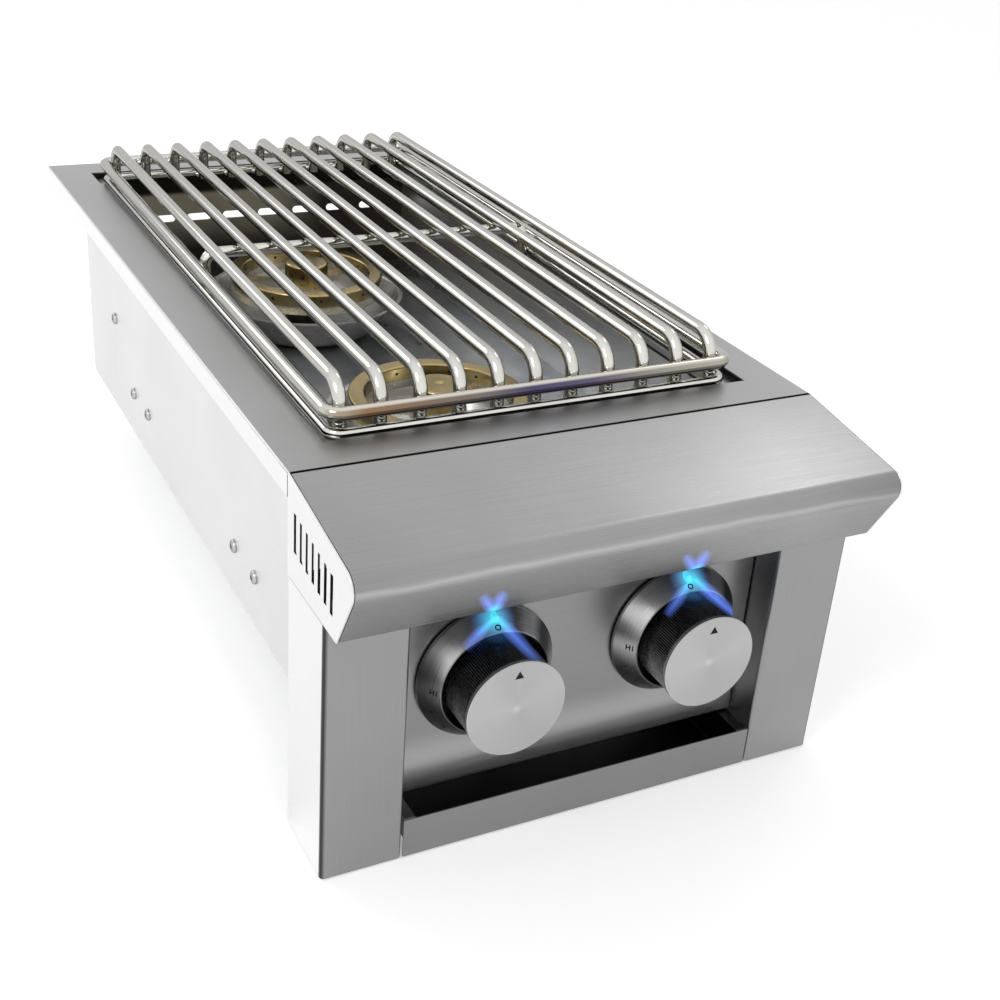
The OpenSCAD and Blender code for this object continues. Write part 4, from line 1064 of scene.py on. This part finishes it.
def bentWire(name, way, radius, bend, sizes, closed=False):
    # A circle is pushed along each straight and spun round each corner
    way = [Vector(p) for p in way]
    dropSelection()
    bpy.ops.mesh.primitive_circle_add(vertices=sizes["sides"], radius=radius, fill_type="NOTHING",
                                      location=way[0], rotation=aimed((way[1] - way[0]).normalized()))
    wire = startPiece(name)
    editing(wire, "EDGE", "SELECT")
    here = way[0]
    for i in range(1, len(way)):
        arriving = (way[i] - way[i - 1]).normalized()
        corner = i < len(way) - 1
        leaving = (way[i + 1] - way[i]).normalized() if corner else arriving
        angle = arriving.angle(leaving) if corner else 0
        reach = bend * math.tan(angle / 2)
        stop = way[i] - arriving * reach
        pullEdges(stop - here)
        here = way[i] + leaving * reach
        if corner:
            axis = arriving.cross(leaving).normalized()
            centre = stop + axis.cross(arriving) * bend
            bpy.ops.mesh.spin(steps=sizes["bendSteps"], angle=-angle, center=centre, axis=axis)
    if not closed:
        bpy.ops.mesh.select_all(action="DESELECT")
        bpy.ops.mesh.select_non_manifold()
        bpy.ops.mesh.fill_holes(sides=0)
    endEdit()
    tidyMesh(wire, 40)
    return wire


def weldBead(name, sizes):
    profile = [(s * sizes["beadWide"], -c * sizes["beadLong"]) for s, c in arcTurns(range(0, 181, 30))]
    bead = turnedPiece(name, (0, 0, 0), (1, 0, 0), profile, 12)
    tidyMesh(bead, 60)
    return bead


def makeRing(part, name, sizes):
    node = f"grate_{part}_ring"
    low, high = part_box(node)
    z, radius = (low.z + high.z) / 2, (high.z - low.z) / 2
    left, right, front, back = low.x + radius, high.x - radius, low.y + radius, high.y - radius
    corners = [(0, front), (right, front), (right, back), (left, back), (left, front), (0, front)]
    ring = bentWire(name, [(x, y, z) for x, y in corners], radius, sizes[part + "Bend"], sizes, True)
    hand(ring, "grate", "polished_wire", wireFinish, node)


def makeRods(sizes):
    low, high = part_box("grate_pan_rods")
    radius = sizes["rodRadius"]
    front, back, top = low.y + radius, high.y - radius, high.z - radius
    rod = bentWire("rod", [(0, front, low.z), (0, front, top), (0, back, top), (0, back, low.z)], radius,
                   sizes["rodBend"], sizes)
    bead = weldBead("bead", sizes)
    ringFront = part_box("grate_upper_ring")[0].y + radius
    ringBack = low.y + high.y - ringFront
    heights = [middleOf(f"grate_{part}_ring").z - sizes["beadDrop"] for part in ("upper", "lower")]
    rods = []
    for i in range(sizes["rods"]):
        x = (i - (sizes["rods"] - 1) / 2) * sizes["pitch"]
        rods.append(copyOf(rod, "rodCopy"))
        shiftMesh(rods[-1], (x, 0, 0))
        for y in ((front + ringFront) / 2, (back + ringBack) / 2):
            for z in heights:
                for aside in (-sizes["beadAside"], sizes["beadAside"]):
                    rods.append(copyOf(bead, "beadCopy"))
                    shiftMesh(rods[-1], (x + aside, y, z))
    bpy.data.objects.remove(rod)
    bpy.data.objects.remove(bead)
    hand(joinPieces("grateRods", rods), "grate", "polished_wire", wireFinish, "grate_pan_rods")


def makeCrossRod(sizes):
    low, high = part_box("grate_cross_rod")
    y, radius = (low.y + high.y) / 2, sizes["rodRadius"]
    half, top = high.x - radius, high.z - radius
    cross = bentWire("grateCrossRod", [(-half, y, low.z), (-half, y, top), (half, y, top), (half, y, low.z)],
                     radius, sizes["crossBend"], sizes)
    hand(cross, "grate", "polished_wire", wireFinish, "grate_cross_rod")


# Burners: brass ring and cap over the casting, in a polished dish

burnerSizes = {"sides": 144, "capSides": 96, "ringRound": 1.6 * mm, "capRound": 2 * mm, "wall": 2 * mm,
               "port": 1.1 * mm, "outerPorts": 20, "innerPorts": 16, "capPorts": 12, "dimple": 3.5 * mm,
               "boreR": 49 * mm, "castEdge": 0.3 * mm}
roundTurns = (0, 22, 45, 67, 90)


def drillPorts(piece, centre, count, inner, outer, z, turned, sizes):
    # turned is how far the first port stands from +X, as a share of the ports' spacing
    rods = []
    for i in range(count):
        turn = math.radians((i + turned) * 360 / count)
        way = Vector((math.cos(turn), math.sin(turn), 0))
        hub = Vector((centre.x, centre.y, z))
        rods.append(cutterRod(hub + way * inner, hub + way * outer, sizes["port"], 12))
    cutWith(piece, joinPieces("cutter", rods))


def handBrass(piece, name, centre, node):
    finish = turnedMetal(name, tones["brass"], 0.2, centre, 2)
    # Painted reflection: the brass darkens towards its outlines
    finish.colour(finish.blend(finish.grazing(2.0), finish.tone, shaded(tones["brass"], 0.25)))
    hand(piece, "housing", "brass", finish, node)


def makeBurnerRing(place, sizes):
    node = place + "_burner_ring"
    low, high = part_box(node)
    mid, top, foot = (low + high) / 2, high.z, low.z
    outer, bore, wall, soft = high.x, sizes["boreR"], sizes["wall"], sizes["ringRound"]
    arc = arcTurns(roundTurns)
    profile = [(bore, foot)] + [(bore + soft - soft * c, top - soft + soft * s) for s, c in arc]
    profile += [(outer - soft + soft * s, top - soft + soft * c) for s, c in arc]
    profile += [(outer, foot), (outer - wall, foot), (outer - wall, top - wall), (bore + wall, top - wall),
                (bore + wall, foot), (bore, foot)]
    centre = (mid.x, mid.y, 0)
    piece = turnedPiece(place + "BurnerRing", centre, (0, 0, 1), profile, sizes["sides"], True)
    tidyMesh(piece)
    drillPorts(piece, mid, sizes["outerPorts"], outer - 2 * wall, outer + wall, mid.z, 0.5, sizes)
    drillPorts(piece, mid, sizes["innerPorts"], bore - wall, bore + 2 * wall, mid.z, 0.5, sizes)
    tidyMesh(piece)
    handBrass(piece, place + " ring brass", centre, node)


def makeBurnerCap(place, sizes):
    node = place + "_burner_cap"
    low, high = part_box(node)
    mid, top, foot = (low + high) / 2, high.z, low.z
    outer, wall, soft, dimple = high.x, sizes["wall"], sizes["capRound"], sizes["dimple"]
    profile = [(0, top - 1.2 * mm), (dimple * 0.5, top - 1.0 * mm), (dimple, top - 0.1 * mm),
               (dimple + 0.4 * mm, top)]
    profile += [(outer - soft + soft * s, top - soft + soft * c) for s, c in arcTurns(roundTurns)]
    profile += [(outer, foot), (outer - wall, foot), (outer - wall, top - wall), (0, top - wall)]
    centre = (mid.x, mid.y, 0)
    piece = turnedPiece(place + "BurnerCap", centre, (0, 0, 1), profile, sizes["capSides"])
    tidyMesh(piece)
    drillPorts(piece, mid, sizes["capPorts"], outer - 2 * wall, outer + wall, mid.z, 0, sizes)
    tidyMesh(piece)
    handBrass(piece, place + " cap brass", centre, node)


dishSizes = {"bore": 18 * mm, "flat": 52 * mm, "rim": 77 * mm, "lip": 1.5 * mm, "wall": 0.8 * mm,
             "bend": 17.3 * mm, "bendSteps": 8, "lipSteps": 6, "sides": 128}


def makeDish(place, sizes):
    node = place + "_reflector_dish"
    low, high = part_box(node)
    mid = (low + high) / 2
    flat, wall, bend, lip = sizes["flat"], sizes["wall"], sizes["bend"], sizes["lip"]
    floor, top, slopeEnd = low.z, high.z - wall, sizes["rim"] - 2 * lip
    slope = math.atan2(top - floor, slopeEnd - flat)
    under = [(sizes["bore"], floor)]
    for i in range(sizes["bendSteps"] + 1):
        a = slope * i / sizes["bendSteps"]
        under.append((flat - bend * (math.tan(slope / 2) - math.sin(a)), floor + bend * (1 - math.cos(a))))
    for i in range(sizes["lipSteps"] + 1):
        a = slope * (1 - i / sizes["lipSteps"])
        under.append((slopeEnd + lip * (math.tan(slope / 2) - math.sin(a)), top - lip * (1 - math.cos(a))))
    under.append((sizes["rim"], top))
    # The upper face lies one wall away, square to the lower one
    upper = []
    for i, (r, z) in enumerate(under):
        before, after = under[max(i - 1, 0)], under[min(i + 1, len(under) - 1)]
        way = (Vector(after) - Vector(before)).normalized()
        upper.append((r - way.y * wall, z + way.x * wall))
    profile = under + list(reversed(upper)) + [under[0]]
    piece = turnedPiece(place + "Dish", (mid.x, mid.y, 0), (0, 0, 1), profile, sizes["sides"], True)
    tidyMesh(piece)
    hand(piece, "housing", "mirror_dish", dishFinish, node)


# Knobs: spun bezel with a blue lamp and printed words, knurled grip and a spun face

knobSizes = {"ribs": 132, "ribDeep": 0.45 * mm, "grip": 28.5 * mm, "gripWall": 2.5 * mm, "edge": 0.9 * mm,
             "face": 29.7 * mm, "faceThick": 2.4 * mm, "spigot": 18 * mm, "markUp": 21 * mm, "mark": 5.6 * mm,
             "markDeep": 0.4 * mm, "markShares": (0.97, 0.4, 0.97), "markEdge": 0.08 * mm, "boss": 7 * mm,
             "socket": 3.225 * mm, "back": 18 * mm, "backThick": 4 * mm, "web": 2.5 * mm, "bossShort": 3 * mm}
bezelSizes = {"foot": 42 * mm, "rim": 33 * mm, "bore": 32 * mm, "edge": 3 * mm, "floor": 1.5 * mm,
              "hole": 8 * mm, "lens": 2 * mm, "lensUp": 38.5 * mm, "lensDeep": 20 * mm, "lensGap": 0.05 * mm,
              "high": 15 * mm, "marks": 7, "markTurn": 22.5, "markR": 37.8 * mm, "markWide": 0.45 * mm,
              "markLong": 3.0, "markStep": 0.3, "markEdge": 0.03 * mm, "wordR": 35.5 * mm,
              "offR": 34.7 * mm, "letterSize": 4.6 * mm, "letterPitch": 2.9 * mm, "letterBold": 0.15 * mm,
              "printRise": 0.08 * mm}


def makeBezel(side, sizes):
    low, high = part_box(side + "_bezel")
    mid, h = (low + high) / 2, high.y - low.y
    foot, rim, bore, edge = sizes["foot"], sizes["rim"], sizes["bore"], sizes["edge"]
    # The small steps round off the edges
    profile = [(sizes["hole"], 0), (foot - 0.3 * mm, 0), (foot, 0.3 * mm), (foot, edge - 0.4 * mm),
               (foot - 0.25 * mm, edge + 0.1 * mm), (rim + 0.45 * mm, h - 0.5 * mm),
               (rim + 0.1 * mm, h - 0.1 * mm), (rim - 0.3 * mm, h), (bore + 0.2 * mm, h - 0.1 * mm),
               (bore, h - 0.4 * mm), (bore, sizes["floor"]), (sizes["hole"], sizes["floor"]),
               (sizes["hole"], 0)]
    centre = Vector((mid.x, high.y, mid.z))
    piece = turnedPiece(side + "BezelCone", centre, (0, -1, 0), profile, 144, True)
    tidyMesh(piece)
    lens = Vector((mid.x, high.y - sizes["floor"], mid.z + sizes["lensUp"]))
    front = lens - Vector((0, sizes["lensDeep"], 0))
    cutWith(piece, cutterRod(lens, front, sizes["lens"] + sizes["lensGap"], 24))
    tidyMesh(piece)
    hand(piece, "housing", "bezel_metal", bezelFinish(side, centre, knobLook), side + "_bezel")
    makeDialMarks(side, centre, sizes)
    makeLens(side, sizes["lens"])


def makeLens(side, r):
    node = side + "_light_lens"
    low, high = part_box(node)
    mid, h = (low + high) / 2, high.y - low.y
    # A domed tip
    profile = [(0, 0), (r, 0), (r, h - 1.2 * mm), (r * 0.9, h - 0.6 * mm), (r * 0.6, h - 0.2 * mm), (0, h)]
    lamp = turnedPiece(side + "Lamp", (mid.x, high.y, mid.z), (0, -1, 0), profile, 24)
    tidyMesh(lamp)
    hand(lamp, "housing", "light_lens", lampFinish, node)


def onCone(centre, degrees, radius, sizes):
    # Place, way inwards and facing on the bezel's cone, at an angle and a distance from its axis
    foot, rim, edge, high = sizes["foot"], sizes["rim"], sizes["edge"], sizes["high"]
    forward = Vector((0, -1, 0))
    slope = Vector((rim - foot, high - edge)).normalized()
    out = Vector((math.cos(math.radians(degrees)), 0, math.sin(math.radians(degrees))))
    place = centre + out * radius + forward * (edge + (foot - radius) * (high - edge) / (foot - rim))
    return place, out * slope.x + forward * slope.y, out * slope.y - forward * slope.x


def upright(normal):
    return (Vector((0, 0, 1)) - normal * normal.z).normalized()


def dialWord(word, degrees, radius, centre, sizes):
    # Upright letters, each laid flat on the cone at its own place
    place, normal = onCone(centre, degrees, radius, sizes)[::2]
    right = upright(normal).cross(normal)
    letters = []
    for i, letter in enumerate(word):
        spot = place + right * (i - (len(word) - 1) / 2) * sizes["letterPitch"] - centre
        turn = math.degrees(math.atan2(spot.z, spot.x))
        spot, normal = onCone(centre, turn, math.hypot(spot.x, spot.z), sizes)[::2]
        up = upright(normal)
        dropSelection()
        bpy.ops.object.text_add(location=spot, rotation=facing(up.cross(normal), up, normal))
        text = bpy.context.object.data
        text.body = letter
        text.size = sizes["letterSize"]
        text.align_x, text.align_y = "CENTER", "CENTER"
        text.extrude = sizes["printRise"]
        text.offset = sizes["letterBold"]
        text.resolution_u = 4
        bpy.ops.object.convert(target="MESH")
        letters.append(startPiece("letter"))
        tidyMesh(letters[-1])
    return letters


def makeDialMarks(side, centre, sizes):
    # O for off at the top, HI on the left, shorter and shorter bars, and LO at the end of the turn
    marks = []
    for i in range(1, sizes["marks"] - 1):
        place, inward, normal = onCone(centre, 180 + i * sizes["markTurn"], sizes["markR"], sizes)
        dropSelection()
        turn = facing(inward.cross(normal), inward, normal)
        bpy.ops.mesh.primitive_cylinder_add(vertices=16, radius=sizes["markWide"],
                                            depth=2 * sizes["printRise"], location=place, rotation=turn)
        bpy.context.object.scale = (1, sizes["markLong"] - i * sizes["markStep"], 1)
        marks.append(startPiece("mark"))
    bars = joinPieces("bars", marks)
    soften(bars, sizes["markEdge"], 1, 40)
    last = 180 + (sizes["marks"] - 1) * sizes["markTurn"]
    words = []
    for word, degrees, radius in (("O", 90, "offR"), ("HI", 180, "wordR"), ("LO", last, "wordR")):
        words += dialWord(word, degrees, sizes[radius], centre, sizes)
    hand(joinPieces(side + "DialMarks", [bars] + words), "housing", "black_grip", blackFinish)


def makeGrip(side, sizes):
    node = side + "_knob_grip"
    low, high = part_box(node)
    mid, h = (low + high) / 2, high.y - low.y
    r, wall, edge, boss = sizes["grip"], sizes["gripWall"], sizes["edge"], sizes["boss"]
    back, backEnd, socket, lines = sizes["back"], sizes["backThick"], sizes["socket"], sizes["ribs"] * 4
    web, bossEnd = backEnd + sizes["web"], h - sizes["bossShort"]
    profile = [(back, 0), (r - edge, 0), (r, edge), (r, h - edge), (r - edge, h), (r - wall, h),
               (r - wall, web), (boss, web), (boss, bossEnd), (socket, bossEnd), (socket, backEnd),
               (back, backEnd), (back, 0)]
    piece = turnedPiece(side + "Grip", (mid.x, low.y, mid.z), (0, 1, 0), profile, lines, True)
    tidyMesh(piece)
    # Every second pair of lines on the outer wall is drawn in, which leaves straight ribs
    mesh = editing(piece)
    for vertex in mesh.verts:
        away = Vector((vertex.co.x - mid.x, vertex.co.z - mid.z))
        turn = math.degrees(math.atan2(away.y, away.x)) % 360
        line = round(turn / (360 / lines))
        if away.length > r - 0.02 * mm and line % 4 < 2:
            vertex.select_set(True)
    bmesh.update_edit_mesh(piece.data)
    share = (r - sizes["ribDeep"]) / r
    bpy.ops.transform.resize(value=(share, 1, share), center_override=mid)
    endEdit()
    tidyMesh(piece, 25)
    hand(piece, side + "_knob", "black_grip", gripFinish(side, mid, knobLook), node)


def makeFace(side, sizes):
    node = side + "_knob_face"
    low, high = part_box(node)
    mid, h = (low + high) / 2, high.y - low.y
    r, t, spigot = sizes["face"], sizes["faceThick"], sizes["spigot"]
    # A fine groove runs round the face inside its rounded edge
    profile = [(0, 0), (r - 1.5 * mm, 0), (r - 1.2 * mm, 0.12 * mm), (r - 0.8 * mm, 0.12 * mm),
               (r - 0.5 * mm, 0), (r - 0.2 * mm, 0.1 * mm), (r, 0.35 * mm), (r, t - 0.3 * mm),
               (r - 0.3 * mm, t), (spigot, t), (spigot, h), (0, h)]
    centre = Vector((mid.x, low.y, mid.z))
    piece = turnedPiece(side + "FaceDisc", centre, (0, 1, 0), profile, 144)
    tidyMesh(piece)
    place = centre + Vector((0, 0, sizes["markUp"]))
    cutter = markCutter(place, sizes)
    inlay = copyOf(cutter, side + "IndexMark")
    cutWith(piece, cutter)
    tidyMesh(piece)
    hand(piece, side + "_knob", "knob_face", faceFinish(side, centre, knobLook), node)
    editing(inlay, action="SELECT")
    depth = Vector((0, sizes["markDeep"], 0))
    bpy.ops.transform.resize(value=sizes["markShares"], center_override=place + depth)
    endEdit()
    soften(inlay, sizes["markEdge"], 2, 40)
    hand(inlay, side + "_knob", "black_grip", blackFinish)


def markCutter(place, sizes):
    # A triangle whose tip points up
    dropSelection()
    bpy.ops.mesh.primitive_cylinder_add(vertices=3, radius=sizes["mark"] / math.sqrt(3),
                                        depth=2 * sizes["markDeep"], location=place,
                                        rotation=(quarterTurn, 0, 0))
    piece = startPiece("cutter")
    mesh = editing(piece, action="SELECT")
    tips = sorted((v.co.z for v in mesh.verts), reverse=True)
    if near(tips[0], tips[2]):
        bpy.ops.transform.resize(value=(1, 1, -1), center_override=place)
        bpy.ops.mesh.flip_normals()
    endEdit()
    return piece


# Gas inlet with its male thread

inletSizes = {"body": 13 * mm, "bodyLong": 12 * mm, "bevel": 0.6 * mm, "thread": 7.94 * mm, "core": 7.1 * mm,
              "pitch": 1.41 * mm, "runIn": 1.4 * mm, "runOut": 0.3 * mm, "tip": 5.4 * mm, "cone": 4 * mm,
              "bore": 4.5 * mm}


def makeInlet(sizes):
    low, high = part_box("gas_inlet")
    mid, h = (low + high) / 2, high.y - low.y
    body, bodyLong, bevel, bore = sizes["body"], sizes["bodyLong"], sizes["bevel"], sizes["bore"]
    thread, pitch = sizes["thread"], sizes["pitch"]
    place, end = bodyLong + sizes["runIn"], h - sizes["cone"]
    profile = [(bore, 0), (body - bevel, 0), (body, bevel), (body, bodyLong - bevel),
               (body - bevel, bodyLong), (thread, bodyLong), (thread, place)]
    while place + pitch < end - sizes["runOut"]:
        profile += [(sizes["core"], place + pitch * 0.5), (thread, place + pitch * 0.95)]
        profile.append((thread, place + pitch))
        place += pitch
    profile += [(thread, end), (sizes["tip"], h), (bore, h), (bore, 0)]
    piece = turnedPiece("gasInlet", (mid.x, low.y, mid.z), (0, 1, 0), profile, 64, True)
    tidyMesh(piece, 30)
    hand(piece, "housing", "valve_brass", valveFinish, "gas_inlet")


makeFlange(flangeSizes)
makeNose(noseSizes)
print("flange and nose made")
makePosts(fasciaSizes)
makePanel(fasciaSizes)
makeTrayAndSides(fasciaSizes)
makeScrews(screwSizes)
print("fascia and sides made")
makeRing("upper", "grateTopRing", grateSizes)
makeRing("lower", "grateFootRing", grateSizes)
makeRods(grateSizes)
makeCrossRod(grateSizes)
print("grate made")
for place in ("front", "rear"):
    makeBurnerRing(place, burnerSizes)
    handSheet(place + "_burner_base", place + "BurnerCasting", burnerSizes["castEdge"], "brass", baseFinish,
              smoothAngle=30)
    makeBurnerCap(place, burnerSizes)
    makeDish(place, dishSizes)
print("burners made")
for side in ("left", "right"):
    makeBezel(side, bezelSizes)
    makeGrip(side, knobSizes)
    makeFace(side, knobSizes)
makeInlet(inletSizes)
print("knobs and inlet made")


# Inner sheets get softened edges too; the small turned and bent parts inside keep their solids

innerSheets = {
    "floor_pan": "wellFloor", "back_panel": "backSheet", "bottom_pan": "bottomSheet",
    "front_heat_shield": "heatShield", "left_grate_rest": "leftGrateRest",
    "right_grate_rest": "rightGrateRest", "left_tray_runner": "leftTrayRunner",
    "right_tray_runner": "rightTrayRunner", "front_burner_bracket": "frontBracket",
    "rear_burner_bracket": "rearBracket",
}
for node, name in innerSheets.items():
    finish = backFinish if node == "back_panel" else wellFinish
    handSheet(node, name, sheetEdge, "inner_steel", finish)
print("inner sheets made")


def dressNodes(finish, *names):
    for name in names:
        nodes[name].data.materials.clear()
        nodes[name].data.materials.append(finish.material)


dressNodes(ceramicFinish, "front_electrode", "rear_electrode")
dressNodes(tubeFinish, "front_venturi_tube", "rear_venturi_tube", "front_air_shutter", "rear_air_shutter",
           "manifold", "supply_pipe")
dressNodes(valveFinish, "left_valve", "right_valve", "front_orifice", "rear_orifice")
dressNodes(stemFinish, "left_stem_washer", "right_stem_washer", "left_stem", "right_stem")
print("inner pieces dressed")
